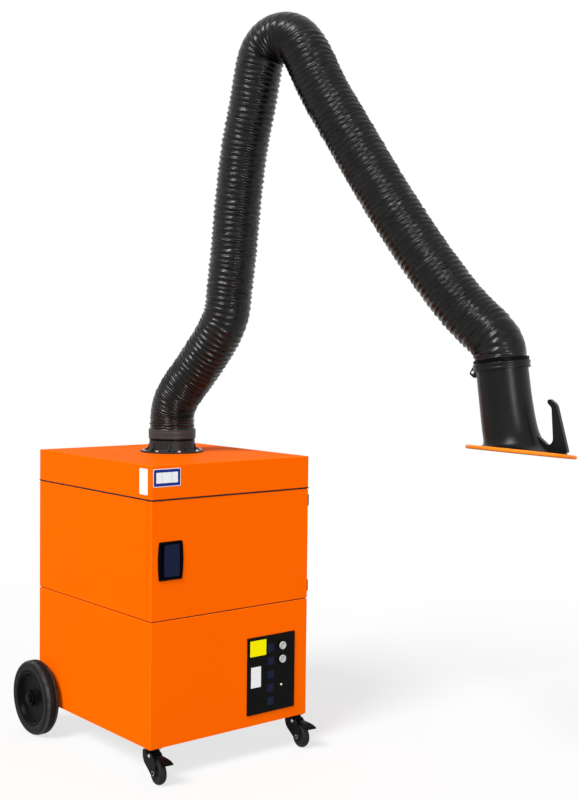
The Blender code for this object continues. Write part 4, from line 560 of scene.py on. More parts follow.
class Finishes:
    """Every finish of the extractor, by what it is on."""

    # Its folded edges take a lighter orange: a painted highlight.
    POWDER = Finish(
        "orange_powder_coat", (1.0, 0.136, 0.0), 0.58, specular=0.01, grain=0.0016, relief=0.000035,
        tone=0.02, drift=0.05, patch=0.3, rub_and_highlight_tint=(1.0, 0.25, 0.02), rub_and_highlight=0.3,
    )
    PLASTIC = Finish(
        "black_plastic", (0.002, 0.002, 0.0022), 0.36, specular=0.03, grain=0.0007, tone=0.15, drift=0.08,
        patch=0.05, rub_and_highlight_tint=(0.06, 0.06, 0.06), rub_and_highlight=0.5,
    )
    HOOD = Finish(
        "hood_plastic", (0.003, 0.003, 0.0032), 0.33, slot="black_plastic", specular=0.17, grain=0.001,
        relief=0.00002, tone=0.2, drift=0.07, patch=0.06, rub_and_highlight_tint=(0.05, 0.05, 0.05), rub_and_highlight=0.4,
    )
    PADDLE = Finish(
        "latch_paddle_plastic", (0.008, 0.011, 0.038), 0.28, slot="black_plastic", specular=0.06,
        grain=0.0006, relief=0.00002, tone=0.1, patch=0.04,
    )
    HOSE = HoseFabric(
        "black_hose_fabric", (0.0015, 0.0015, 0.0016), 0.3, specular=0.22, relief=0.0018, tone=0.3,
        drift=0.1, patch=0.05,
    )
    RUBBER = Finish(
        "black_rubber", (0.01, 0.01, 0.01), 0.58, specular=0.12, grain=0.0009, relief=0.00005, tone=0.15,
        drift=0.08,
    )
    # Its shoulders take a lighter grey: a painted highlight.
    TYRE = Finish(
        "black_tyre", (0.009, 0.009, 0.009), 0.5, specular=0.07, grain=0.0011, relief=0.00006, tone=0.25,
        drift=0.1, patch=0.03, rub_and_highlight_tint=(0.09, 0.088, 0.085), rub_and_highlight=0.7,
    )
    STEEL = Finish(
        "black_steel", (0.003, 0.003, 0.0032), 0.3, specular=0.03, grain=0.0013, tone=0.12, drift=0.07,
        patch=0.05, rub_and_highlight_tint=(0.12, 0.12, 0.12), rub_and_highlight=0.35,
    )
    ZINC = Finish(
        "zinc_plated_steel", (0.74, 0.75, 0.76), 0.28, 1.0, grain=0.0006, relief=0.00002, tone=0.08,
        drift=0.08, patch=0.01,
    )
    GALVANISED = Spangle("galvanised_sheet", (0.62, 0.64, 0.65), 0.42, 1.0, relief=0.00002, drift=0.1)
    ALUMINIUM = Finish("aluminium", (0.78, 0.79, 0.8), 0.36, 1.0, grain=0.0008, relief=0.00002, drift=0.1)
    SCREEN = SparkMesh("spark_screen_mesh", (0.7, 0.71, 0.72), 0.4, 1.0, slot="aluminium", relief=0.001)
    MOTOR = Finish("grey_motor_paint", (0.25, 0.27, 0.3), 0.45, grain=0.002, relief=0.00006)
    PAPER = Paper("filter_media", (0.85, 0.84, 0.8), 0.92, specular=0.2, relief=0.0003)
    BUTTON = Finish(
        "light_grey_plastic", (0.46, 0.47, 0.47), 0.3, specular=0.2, grain=0.0005, relief=0.00001,
        tone=0.05, patch=0.02,
    )
    LENS = Finish("green_lens", (0.62, 0.68, 0.62), 0.12, coat=0.3, tone=0.05, patch=0.01)
    TRIM = Finish(
        "orange_rubber_trim", (0.92, 0.225, 0.01), 0.42, specular=0.12, grain=0.0009, relief=0.00004,
        tone=0.07, patch=0.02,
    )
    PANEL = Finish(
        "panel_face_plastic", (0.003, 0.003, 0.0028), 0.3, slot="black_plastic", specular=0.05,
        grain=0.0008, relief=0.00001, tone=0.1, patch=0.05,
    )
    FLANGE = Finish(
        "flange_casting", (0.016, 0.016, 0.017), 0.42, slot="black_plastic", specular=0.15, grain=0.0008,
        relief=0.00004, tone=0.15, drift=0.08, patch=0.04, rub_and_highlight_tint=(0.1, 0.1, 0.1), rub_and_highlight=0.5,
    )
    CUFF = Finish(
        "hose_cuff_band", (0.032, 0.032, 0.034), 0.45, slot="black_steel", specular=0.2, grain=0.003,
        relief=0.00025, tone=0.15, drift=0.08, patch=0.03,
    )
    LABEL_YELLOW = Label("blank_label_yellow", (0.95, 0.83, 0.0), 0.4, slot="light_grey_plastic", specular=0.05)
    LABEL_WHITE = Label("blank_label_white", (0.84, 0.85, 0.86), 0.38, slot="light_grey_plastic", specular=0.1)
    LABEL_BLUE = Label(
        "blank_label_blue", (0.012, 0.028, 0.235), 0.34, slot="black_plastic", specular=0.1, tone=0.05,
    )
    LABEL_NAVY = Label(
        "blank_tile_navy", (0.006, 0.01, 0.036), 0.3, slot="black_plastic", specular=0.08, tone=0.05,
    )
    LABEL_PALE = Label(
        "blank_label_pale", (0.3, 0.34, 0.42), 0.4, slot="light_grey_plastic", specular=0.1, grain=0.0012,
    )

    @classmethod
    def of_slot(cls, slot: str, node: str) -> Finish:
        """Finish of a CAD node that is shown as it is.

        Args:
            slot: The node's material slot in the record.
            node: The node's name.

        Returns:
            The finish that belongs on it.
        """
        if node == "spark_screen":
            return cls.SCREEN
        known = [made for made in vars(cls).values() if isinstance(made, Finish)]
        return next(made for made in known if made.home == slot)


def rounded(points: Flat, steps: int = 3, closed: bool = True) -> list[tuple[float, float]]:
    """Round the corners of an outline.

    Args:
        points: The corners; a third number is the corner's radius, without it it stays sharp.
        steps: Segments per corner.
        closed: Whether the last point joins the first.

    Returns:
        The outline with its corners rounded.
    """
    made = []
    for number, point in enumerate(points):
        here = Vector(point[:2])
        if len(point) < 3 or (not closed and number in (0, len(points) - 1)):
            made.append(tuple(here))
            continue
        before = Vector(points[number - 1][:2]) - here
        after = Vector(points[(number + 1) % len(points)][:2]) - here
        reach = min(point[2], 0.49 * before.length, 0.49 * after.length)
        start, end = here + before.normalized() * reach, here + after.normalized() * reach
        for step in range(steps + 1):
            share = step / steps
            made.append(tuple(start.lerp(here, share).lerp(here.lerp(end, share), share)))
    return made


def mirrored(half: list[tuple[float, float]]) -> list[tuple[float, float]]:
    """Profile of radius and height, joined to its own image under nought."""
    return half + [(radius, -height) for radius, height in reversed(half) if abs(height) > MERGE]


def spline(knots: Sequence[Vector], steps: int) -> list[Vector]:
    """Smooth line through points, after Catmull and Rom, with centripetal spacing.

    Args:
        knots: The points, of any dimension.
        steps: Pieces per span.

    Returns:
        Points along the line.
    """
    ends = [2 * knots[0] - knots[1], *knots, 2 * knots[-1] - knots[-2]]
    line = []
    for span in zip(ends, ends[1:], ends[2:], ends[3:]):
        times = [0.0]
        for one, two in zip(span, span[1:]):
            times.append(times[-1] + math.sqrt((two - one).length))
        for step in range(steps):
            now = times[1] + (times[2] - times[1]) * step / steps
            row = list(span)
            for level in (1, 2):
                row = [
                    one.lerp(two, (now - times[n]) / (times[n + level] - times[n]))
                    for n, (one, two) in enumerate(zip(row, row[1:]))
                ]
            line.append(row[0].lerp(row[1], (now - times[1]) / (times[2] - times[1])))
    return [*line, knots[-1]]


def outline_of(
    width: float, height: float, corner: float, centre: Sequence[float] = (0.0, 0.0), bow: float = 0.0
) -> list[tuple[float, float]]:
    """Outline of a rectangle with round corners, its upright sides bowed out if asked.

    Args:
        width: Its width.
        height: Its height.
        corner: Radius of its corners.
        centre: Where its middle lies.
        bow: How far the upright sides bulge.

    Returns:
        The outline, anticlockwise, always with the same number of points.
    """
    half_x, half_z = width / 2, height / 2
    inner, flat = half_z - corner, half_x - corner
    round_x = corner + bow * (1.0 - (inner / half_z) ** 2)
    turns = [math.radians(18 * step) for step in range(6)]
    made = []
    for side in (1.0, -1.0):
        for step in range(9):
            level = side * inner * (step / 4 - 1)
            made.append((side * (half_x + bow * (1.0 - (level / half_z) ** 2)), level))
        for turn in turns[1:]:
            made.append((side * (flat + round_x * math.cos(turn)), side * (inner + corner * math.sin(turn))))
        for turn in turns[:-1]:
            made.append((-side * (flat + round_x * math.sin(turn)), side * (inner + corner * math.cos(turn))))
    return [(across + centre[0], up + centre[1]) for across, up in made]


def upright(outline: Flat, y: float) -> list[Place]:
    """Outline in X and Z, set up at a Y."""
    return [(x, y, z) for x, z in outline]


def skin(work: Shape, rows: Sequence[Sequence[bmesh.types.BMVert]], ring: bool = False) -> Shape:
    """Close rows of points into a solid.

    Args:
        work: The shape that holds the points.
        rows: The rows, of equally many points; one of a single point is a pole.
        ring: Whether the last row joins the first; otherwise the end rows are closed.

    Returns:
        The shape, with its faces outwards.
    """
    count = max(len(row) for row in rows)
    for one, two in list(zip(rows, rows[1:])) + ([(rows[-1], rows[0])] if ring else []):
        for number in range(count):
            after = (number + 1) % count
            pairs = ((one, number), (one, after), (two, after), (two, number))
            distinct = list(dict.fromkeys(row[place % len(row)] for row, place in pairs))
            if len(distinct) > 2:
                work.faces.new(distinct)
    if not ring:
        for row in (rows[0], rows[-1]):
            if len(row) > 2:
                work.faces.new(row)
    bmesh.ops.recalc_face_normals(work, faces=work.faces)
    return work


def loft(loops: Sequence[Sequence[Sequence[float]]], ring: bool = False) -> Shape:
    """Skin a row of loops that have equally many points.

    Args:
        loops: The loops, each a list of places.
        ring: Whether the last loop joins the first; otherwise both ends are closed.

    Returns:
        The closed shape.
    """
    work = bmesh.new()
    return skin(work, [[work.verts.new(place) for place in loop] for loop in loops], ring)


def slab(outline: Flat, near: float, far: float) -> Shape:
    """Shape with an outline in X and Z and a thickness along Y."""
    return loft([upright(outline, near), upright(outline, far)])


def lathe(profile: Flat, sides: int = 64) -> Shape:
    """Turn a profile of radius and height round Z.

    Args:
        profile: The points; it starts and ends at a radius of nothing, or else it closes into a ring.
        sides: Segments round the axis.

    Returns:
        The turned shape.
    """
    work = bmesh.new()
    angles = [math.tau * number / sides for number in range(sides)]
    rows = [
        [
            work.verts.new((radius * math.cos(angle), radius * math.sin(angle), height))
            for angle in (angles if radius else angles[:1])
        ]
        for radius, height in profile
    ]
    return skin(work, rows, len(rows[0]) > 1)


def sweep(
    path: Sequence[Vector], radius: float | Callable[[float], float], sides: int = 20, closed: bool = False
) -> Shape:
    """Run a round section along a path.

    Args:
        path: Points of its centre line.
        radius: Its radius, or a function of the share of the path.
        sides: Segments round it.
        closed: Whether the path is a loop.

    Returns:
        The tube, with flat ends where it is open.
    """
    work = bmesh.new()
    count = len(path)
    across = Vector((0.0, 0.0, 1.0))
    rows = []
    for number, place in enumerate(path):
        ahead = path[(number + 1) % count] if closed or number < count - 1 else place
        behind = path[number - 1] if closed or number else place
        along = (ahead - behind).normalized()
        if number == 0 and abs(along.z) > 0.9:
            across = Vector((1.0, 0.0, 0.0))
        across = (across - along * across.dot(along)).normalized()
        other = along.cross(across)
        size = radius(number / (count - 1)) if callable(radius) else radius
        rows.append([
            work.verts.new(place + size * (math.cos(angle) * across + math.sin(angle) * other))
            for angle in (math.tau * step / sides for step in range(sides))
        ])
    return skin(work, rows, closed)


def block(low: Place, high: Place) -> Shape:
    """A box between two corners.

    Args:
        low: Its lowest corner.
        high: Its highest corner.

    Returns:
        The box.
    """
    work = bmesh.new()
    size, middle = Vector(high) - Vector(low), (Vector(high) + Vector(low)) / 2
    bmesh.ops.create_cube(work, size=1.0, matrix=Matrix.Translation(middle) @ Matrix.Diagonal((*size, 1.0)))
    return work


def soften(work: Shape, radius: float, segments: int = 2, chosen: Callable | None = None) -> Shape:
    """Round sharp edges and mark the middle of the rounding for lighter edges: rubbing, and on the powder coat a
    painted highlight.

    Args:
        work: The shape, changed in place.
        radius: Radius of the rounding.
        segments: Its segments.
        chosen: A test that picks edges, or nothing for all sharp ones.

    Returns:
        The same shape.
    """
    mark = work.verts.layers.float.get("edge") or work.verts.layers.float.new("edge")
    sharp = [
        edge for edge in work.edges
        if len(edge.link_faces) == 2 and edge.calc_face_angle(0.0) > SHARP and (chosen is None or chosen(edge))
    ]
    made = bmesh.ops.bevel(
        work, geom=sharp, offset=radius, offset_type="OFFSET", segments=segments, profile=0.5,
        affect="EDGES", clamp_overlap=True,
    )
    new = set(made["faces"])
    for vert in made["verts"]:
        if all(face in new for face in vert.link_faces):
            vert[mark] = 1.0
    return work


def outer_edges(low: Vector, high: Vector, free: tuple[int, int]) -> Callable:
    """Test for edges along the outside of a box.

    Args:
        low: The box's lowest corner.
        high: Its highest corner.
        free: The side that doesn't count, as axis number and -1 or 1.

    Returns:
        A test for one edge.
    """
    def chosen(edge: bmesh.types.BMEdge) -> bool:
        """Whether the edge lies on two outer sides of the box, and not on the free one.

        Args:
            edge: The edge.

        Returns:
            The answer.
        """
        sides = [
            (axis, way) for axis in range(3) for way, level in ((-1, low[axis]), (1, high[axis]))
            if all(abs(vert.co[axis] - level) < 10 * MERGE for vert in edge.verts)
        ]
        return len(sides) == 2 and free not in sides
    return chosen


def cad_copy(node: bpy.types.Object) -> Shape:
    """Copy a CAD node as a closed shape with whole flat faces.

    Args:
        node: The node; it isn't changed.

    Returns:
        The copy.
    """
    work = bmesh.new()
    work.from_mesh(node.data)
    for layer in list(work.loops.layers.uv):
        work.loops.layers.uv.remove(layer)
    bmesh.ops.remove_doubles(work, verts=work.verts, dist=MERGE)
    bmesh.ops.dissolve_limit(work, angle_limit=math.radians(0.5), verts=work.verts, edges=work.edges)
    return work


def joined(*parts: Shape) -> Shape:
    """Put several shapes in one.

    Args:
        parts: The shapes; they are used up.

    Returns:
        One shape that holds them all.
    """
    whole = bmesh.new()
    whole.verts.layers.float.new("edge")
    for part in parts:
        if part.verts.layers.float.get("edge") is None:
            part.verts.layers.float.new("edge")
        mesh = bpy.data.meshes.new("part")
        part.to_mesh(mesh)
        part.free()
        whole.from_mesh(mesh)
        bpy.data.meshes.remove(mesh)
    return whole


def placed(work: Shape, frame: Matrix) -> Shape:
    """Move a shape into a frame; it is changed in place."""
    bmesh.ops.transform(work, matrix=frame, verts=work.verts)
    return work


def facing(place: Place, way: Place) -> Matrix:
    """Frame at a place whose +Z looks along a direction."""
    return Matrix.Translation(place) @ Vector(way).to_track_quat("Z", "Y").to_matrix().to_4x4()


def panel_shape(
    low: Sequence[float], high: Sequence[float], back: float, front: float, corner: float, edge: float
) -> Shape:
    """A flat plate in X and Z with round corners and a rounded front edge.

    Args:
        low: Its lowest X and Z.
        high: Its highest X and Z.
        back: Y of its back.
        front: Y of its front.
        corner: Radius of its corners.
        edge: Radius of its front edge.

    Returns:
        The plate.
    """
    centre = ((low[0] + high[0]) / 2, (low[1] + high[1]) / 2)
    width, height = high[0] - low[0], high[1] - low[1]
    deep = math.copysign(edge, back - front)
    rows = ((0.0, back), (0.0, front + deep), (0.3 * edge, front + 0.3 * deep), (edge, front))
    return loft([
        upright(outline_of(width - 2 * inset, height - 2 * inset, max(corner - inset, 0.0005), centre), level)
        for inset, level in rows
    ])


def strap(stations: Flat) -> Shape:
    """A bent flat strap in X and Z whose width lies along Y.

    Args:
        stations: Along its length: X, Z, width and thickness.

    Returns:
        The strap with rounded edges.
    """
    loops = []
    for number, (x, z, width, thick) in enumerate(stations):
        ahead = Vector(stations[min(number + 1, len(stations) - 1)][:2])
        behind = Vector(stations[max(number - 1, 0)][:2])
        along = (ahead - behind).normalized()
        loop = []
        for across, up in ((-0.5, -0.5), (0.5, -0.5), (0.5, 0.5), (-0.5, 0.5)):
            for inset in ((1.0, 0.3), (0.3, 1.0))[:: 1 if across * up > 0 else -1]:
                lift, side = (
                    share * size - math.copysign(0.2 * thick * cut, share)
                    for share, size, cut in ((up, thick, inset[0]), (across, width, inset[1]))
                )
                loop.append((x - along.y * lift, side, z + along.x * lift))
        loops.append(loop)
    return loft(loops)


def shown(name: str, data: bpy.types.ID | None) -> bpy.types.Object:
    """Put an object in the scene, at the origin.

    Args:
        name: Its name.
        data: Its mesh, lamp or camera.

    Returns:
        The object.
    """
    made = bpy.data.objects.new(name, data)
    bpy.context.scene.collection.objects.link(made)
    return made


def sized_group(name: str, sizes: dict[str, object]) -> tuple[Graph, dict, Node]:
    """Start a Geometry Nodes group that takes geometry, named sizes and a finish.

    Args:
        name: The group's name.
        sizes: Its sizes by name: whole numbers, numbers or directions.

    Returns:
        The graph, the sockets of the inputs by name, and the output node.
    """
    kinds = {int: "Int", float: "Float"}
    takes = {label: (kinds.get(type(size), "Vector"), size) for label, size in sizes.items()}
    takes = {"Geometry": ("Geometry",), **takes, "Finish": ("Material",)}
    return new_group(name, "GeometryNodeTree", takes, {"Geometry": "Geometry"})


def modified(
    mesh: bpy.types.Mesh, kind: str, inputs: dict[str, object] | None = None, **settings: object
) -> bpy.types.Mesh:
    """Put a mesh through a modifier and keep the result as a plain mesh.

    Args:
        mesh: The mesh; it is used up.
        kind: Blender's name of the modifier.
        inputs: A node group's inputs by name.
        settings: Properties of the modifier.

    Returns:
        The plain mesh.
    """
    carrier = shown("carrier", mesh)
    modifier = carrier.modifiers.new("change", kind)
    for name, value in settings.items():
        setattr(modifier, name, value)
    if inputs:
        for item in modifier.node_group.interface.items_tree:
            if item.item_type == "SOCKET" and item.in_out == "INPUT" and item.name in inputs:
                modifier[item.identifier] = inputs[item.name]
    graph = bpy.context.evaluated_depsgraph_get()
    made = bpy.data.meshes.new_from_object(
        carrier.evaluated_get(graph), preserve_all_data_layers=True, depsgraph=graph
    )
    bpy.data.objects.remove(carrier, do_unlink=True)
    bpy.data.meshes.remove(mesh)
    return made


def add_piece(
    name: str, shape: Shape | bpy.types.Mesh, finish: Finish, body: Body | str,
    replaces: Sequence[str] = (), crease: float = 38.0,
) -> bpy.types.Object:
    """Show a finished shape, dress it and let it ride on its body.

    Args:
        name: The piece's name.
        shape: Its shape, in the world's frame; it is used up.
        finish: Its finish.
        body: The body that carries it, or nothing to leave it untied.
        replaces: CAD nodes that it stands for.
        crease: Angle above which an edge stays sharp, in degrees; nothing keeps the mesh's own shading.

    Returns:
        The piece.
    """
    mesh = shape
    if isinstance(shape, Shape):
        mesh = bpy.data.meshes.new(name)
        shape.to_mesh(mesh)
        shape.free()
    if crease:
        mesh.shade_smooth()
        mesh.set_sharp_from_angle(angle=math.radians(crease))
        mesh = modified(mesh, "WEIGHTED_NORMAL", keep_sharp=True)
    mesh.name = name
    mesh.materials.clear()
    mesh.materials.append(finish.material())
    piece = shown(name, mesh)
    finish.home
    if replaces:
        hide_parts(*replaces)
    if body:
        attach(piece, body.value if isinstance(body, Body) else body)
    return piece


@dataclass
class CabinetShell:
    """Orange sheet-metal boxes of the cabinet: base, filter housing, lid and door."""

    nodes: dict[str, bpy.types.Object]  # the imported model's nodes by name
    fold: float = 0.0019  # radius of the folded edges
    segments: int = 3  # segments of a fold
    inset: float = 0.004  # how far the black seam bands, painted shade in the gaps, lie behind the sheet, and their thickness
    gap: float = 0.0002  # play over and under them
    proud: float = 0.0009  # how far the lid's black edge strip, painted shade under the lid, stands out from the sheet
    strip: float = 0.0008  # thickness of that strip

    SHEETS: ClassVar = (
        ("base_housing", Body.CABINET, (2, -1)), ("filter_housing", Body.CABINET, (1, -1)),
        ("lid", Body.CABINET, (2, -1)), ("door_panel", Body.DOOR, (1, 1)),
    )

    def band(self, name: str, out: float, low: float, high: float, thick: float) -> None:
        """Add a black rubber band round the cabinet, painted shade for a dark seam line.

        Args:
            name: The piece's name.
            out: How far it stands out from the sheet.
            low: Its lower edge.
            high: Its upper edge.
            thick: Its thickness.
        """
        x, y = LAYOUT.half_width + out, LAYOUT.half_depth + out
        bars = (
            block((-x, -y, low), (x, thick - y, high)), block((-x, y - thick, low), (x, y, high)),
            block((-x, -y, low), (thick - x, y, high)), block((x - thick, -y, low), (x, y, high)),
        )
        add_piece(name, joined(*bars), Finishes.RUBBER, Body.CABINET, crease=30)

    def build(self) -> None:
        """Fold the edges of each box, coat it and line the seams with black bands, painted shade for their dark
        lines.
        """
        for name, body, rim in self.SHEETS:
            edges = outer_edges(*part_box(name), rim)
            shape = soften(cad_copy(self.nodes[name]), self.fold, self.segments, edges)
            add_piece(f"{name}_sheet", shape, Finishes.POWDER, body, [name])
        # Black bands set into the seams: painted shade for the seams' dark lines.
        for word, low, high in (
            ("lower", LAYOUT.base_top, LAYOUT.middle_bottom), ("upper", LAYOUT.middle_top, LAYOUT.lid_bottom),
        ):
            self.band(f"seam_gasket_{word}", -self.inset, low + self.gap, high - self.gap, self.inset)
        # Black strip round the lid's lower edge: painted shade that widens the dark line under the lid.
        low, high = LAYOUT.lid_bottom - 0.0017, LAYOUT.lid_bottom + 0.0022
        self.band("lid_edge_strip", self.proud, low, high, self.strip)


@dataclass
class DoorLatch:
    """Flush latch of the door: bowed bezel with its recess, and the paddle in it."""

    centre: tuple[float, float] = (-0.241, 0.573)  # X and Z of the bezel's middle
    width: float = 0.0845  # width of the bezel
    height: float = 0.1192  # height of the bezel
    face: float = -0.3543  # Y of its front
    sheet: float = -0.3503  # Y of the door's front face
    floor: float = -0.3355  # Y of the bottom of the recess
    bow: float = 0.004  # bulge of its upright sides
    barrel: Place = (-0.2092, -0.3458, 0.0024)  # X and Y of the paddle's pivot barrel, and its radius

    def bezel(self) -> Shape:
        """Frame, walls and bottom of the recess in one closed shape.

        Returns:
            The bezel.
        """
        rows = (
            (0.076, 0.106, 0.003, self.floor, 0.0), (0.076, 0.106, 0.003, self.sheet, 0.0),
            (self.width, self.height, 0.004, self.sheet, self.bow),
            (self.width, self.height, 0.004, self.face + 0.0012, self.bow),
            (self.width - 0.001, self.height - 0.001, 0.0036, self.face + 0.0004, self.bow),
            (self.width - 0.0024, self.height - 0.0024, 0.003, self.face, self.bow),
            (0.0775, 0.1092, 0.003, self.face, self.bow),
            (0.0765, 0.1072, 0.003, self.sheet - 0.0006, self.bow),
            (0.0738, 0.1052, 0.0025, self.sheet - 0.0004, 0.0),
            (0.0734, 0.104, 0.0025, self.floor - 0.0025, 0.0),
        )
        return loft([
            upright(outline_of(width, height, corner, self.centre, bow), level)
            for width, height, corner, level, bow in rows
        ])

    def paddle(self) -> Shape:
        """Paddle with a finger rib along its free edge and a pivot barrel along the other.

        Returns:
            The paddle.
        """
        plate = panel_shape((-0.2625, 0.5228), (-0.2068, 0.6232), -0.3478, -0.3514, 0.003, 0.0012)
        rib = soften(block((-0.2625, -0.3482, 0.5255), (-0.2592, -0.342, 0.6205)), 0.0008)
        x, y, radius = self.barrel
        return joined(plate, rib, sweep([Vector((x, y, 0.523)), Vector((x, y, 0.623))], radius, 16))

    def build(self) -> None:
        """Add the bezel and the paddle."""
        add_piece("latch_bezel", self.bezel(), Finishes.PLASTIC, Body.DOOR, ["latch_cup"], 30)
        add_piece("latch_paddle_cover", self.paddle(), Finishes.PADDLE, Body.PADDLE, ["latch_paddle"], 30)


@dataclass
class ControlPanel:
    """Black operating panel with two push buttons, lamps and blank fields."""

    low: tuple[float, float] = (0.0585, 0.0355)  # lowest X and Z of the panel
    high: tuple[float, float] = (0.2555, 0.2885)  # highest X and Z
    back: float = -0.3503  # Y of its back
    face: float = -0.3543  # Y of its front
    button_x: float = 0.1988  # X of the buttons and lamps
    cap: float = 0.0131  # radius of a button's cap
    tile_x: float = 0.1535  # X of the middle of the tiles
    tile: float = 0.0128  # half the side of a tile

    FIELDS: ClassVar = (
        ("panel_note_field", Finishes.LABEL_YELLOW, (0.068, 0.2265), (0.134, 0.278)),
        ("panel_type_field", Finishes.LABEL_WHITE, (0.0725, 0.1245), (0.113, 0.192)),
    )
    TILES: ClassVar = (0.2455, 0.2034, 0.1579, 0.1147, 0.0707)
    BUTTONS: ClassVar = ((Body.START, 0.2488), (Body.STOP, 0.2043))
    RING: ClassVar = (
        (0.0141, 0.0), (0.0162, 0.0), (0.0162, 0.0032), (0.0155, 0.0042), (0.0146, 0.0045), (0.0141, 0.004),
    )
    LAMPS: ClassVar = (
        (0.1177, Finishes.LENS, 0.0036, ["indicator_lamp"]), (0.1659, Finishes.PANEL, 0.0032, []),
    )

    def turned_at(self, level: float, profile: Flat, sides: int) -> Shape:
        """Profile turned about an axis that stands on the panel at a height."""
        return placed(lathe(profile, sides), facing((self.button_x, self.face, level), FRONTWARD))

    def build(self) -> None:
        """Add the panel, its fields, rings, buttons and lamps."""
        plate = panel_shape(self.low, self.high, self.back, self.face, 0.003, 0.0009)
        add_piece("control_panel_face", plate, Finishes.PANEL, Body.CABINET, ["control_panel"], 30)
        x, half = self.tile_x, self.tile
        tiles = [
            (f"panel_tile_{number}", Finishes.LABEL_NAVY, (x - half, level - half), (x + half, level + half))
            for number, level in enumerate(self.TILES, 1)
        ]
        for name, finish, low, high in (*self.FIELDS, *tiles):
            field = panel_shape(low, high, self.face + 0.0001, self.face - 0.0004, 0.001, 0.0002)
            add_piece(name, field, finish, Body.CABINET, crease=30)
        radius = self.cap
        cap = (
            (0.0, 0.0043), (radius - 0.0012, 0.0043), (radius - 0.0003, 0.0046), (radius, 0.0052),
            (radius, 0.0076), (radius - 0.0004, 0.0086), (radius - 0.0013, 0.0091), (radius - 0.0024, 0.009),
            (radius * 0.6, 0.0081), (radius * 0.3, 0.0077), (0.0, 0.0075),
        )
        for body, level in self.BUTTONS:
            name = body.value
            add_piece(f"{name}_cap", self.turned_at(level, cap, 48), Finishes.BUTTON, body, [name])
            add_piece(f"{name}_ring", self.turned_at(level, self.RING, 48), Finishes.PANEL, Body.CABINET)
        for number, (level, finish, radius, nodes) in enumerate(self.LAMPS, 1):
            dome = (
                (0.0, 0.0), (radius, 0.0), (radius, 0.001), (radius * 0.8, 0.0023), (radius * 0.4, 0.003),
                (0.0, 0.0032),
            )
            add_piece(f"panel_lamp_{number}", self.turned_at(level, dome, 32), finish, Body.CABINET, nodes)


@dataclass
class BlankLabels:
    """Blank plates on the lid's front and left side."""

    thickness: float = 0.0006  # how far the side plate stands out
    step: float = 0.0002  # how far each layer of the front plate stands over the one under it

    LAYERS: ClassVar = (
        ("border", Finishes.LABEL_WHITE, 0.0035, ((-0.3055, 0.8005), (-0.2055, 0.8555))),
        ("frame", Finishes.LABEL_BLUE, 0.0025, ((-0.3035, 0.8025), (-0.2075, 0.8535))),
        ("field", Finishes.LABEL_PALE, 0.001, ((-0.295, 0.8115), (-0.216, 0.8445))),
        (
            "cells", Finishes.LABEL_WHITE, 0.0004, ((-0.2946, 0.8119), (-0.2741, 0.8441)),
            ((-0.2731, 0.8119), (-0.2381, 0.8441)), ((-0.2371, 0.8119), (-0.2164, 0.8441)),
        ),
    )

    def build(self) -> None:
        """Add the plate on the lid's front and the one on its left side."""
        back = -LAYOUT.half_depth - 0.0001
        for layer, (name, finish, corner, *fields) in enumerate(self.LAYERS, 2):
            face = back - layer * self.step
            plates = [panel_shape(low, high, back, face, corner, self.step / 2) for low, high in fields]
            add_piece(f"lid_plate_{name}", joined(*plates), finish, Body.CABINET, crease=30)
        side = panel_shape((-0.0225, -0.04), (0.0225, 0.04), 0.0001, -self.thickness, 0.003, 0.0003)
        frame = Matrix.Translation((-LAYOUT.half_width, -0.3045, 0.815)) @ turned(-90, "Z")
        add_piece("side_plate", placed(side, frame), Finishes.LABEL_WHITE, Body.CABINET, crease=30)


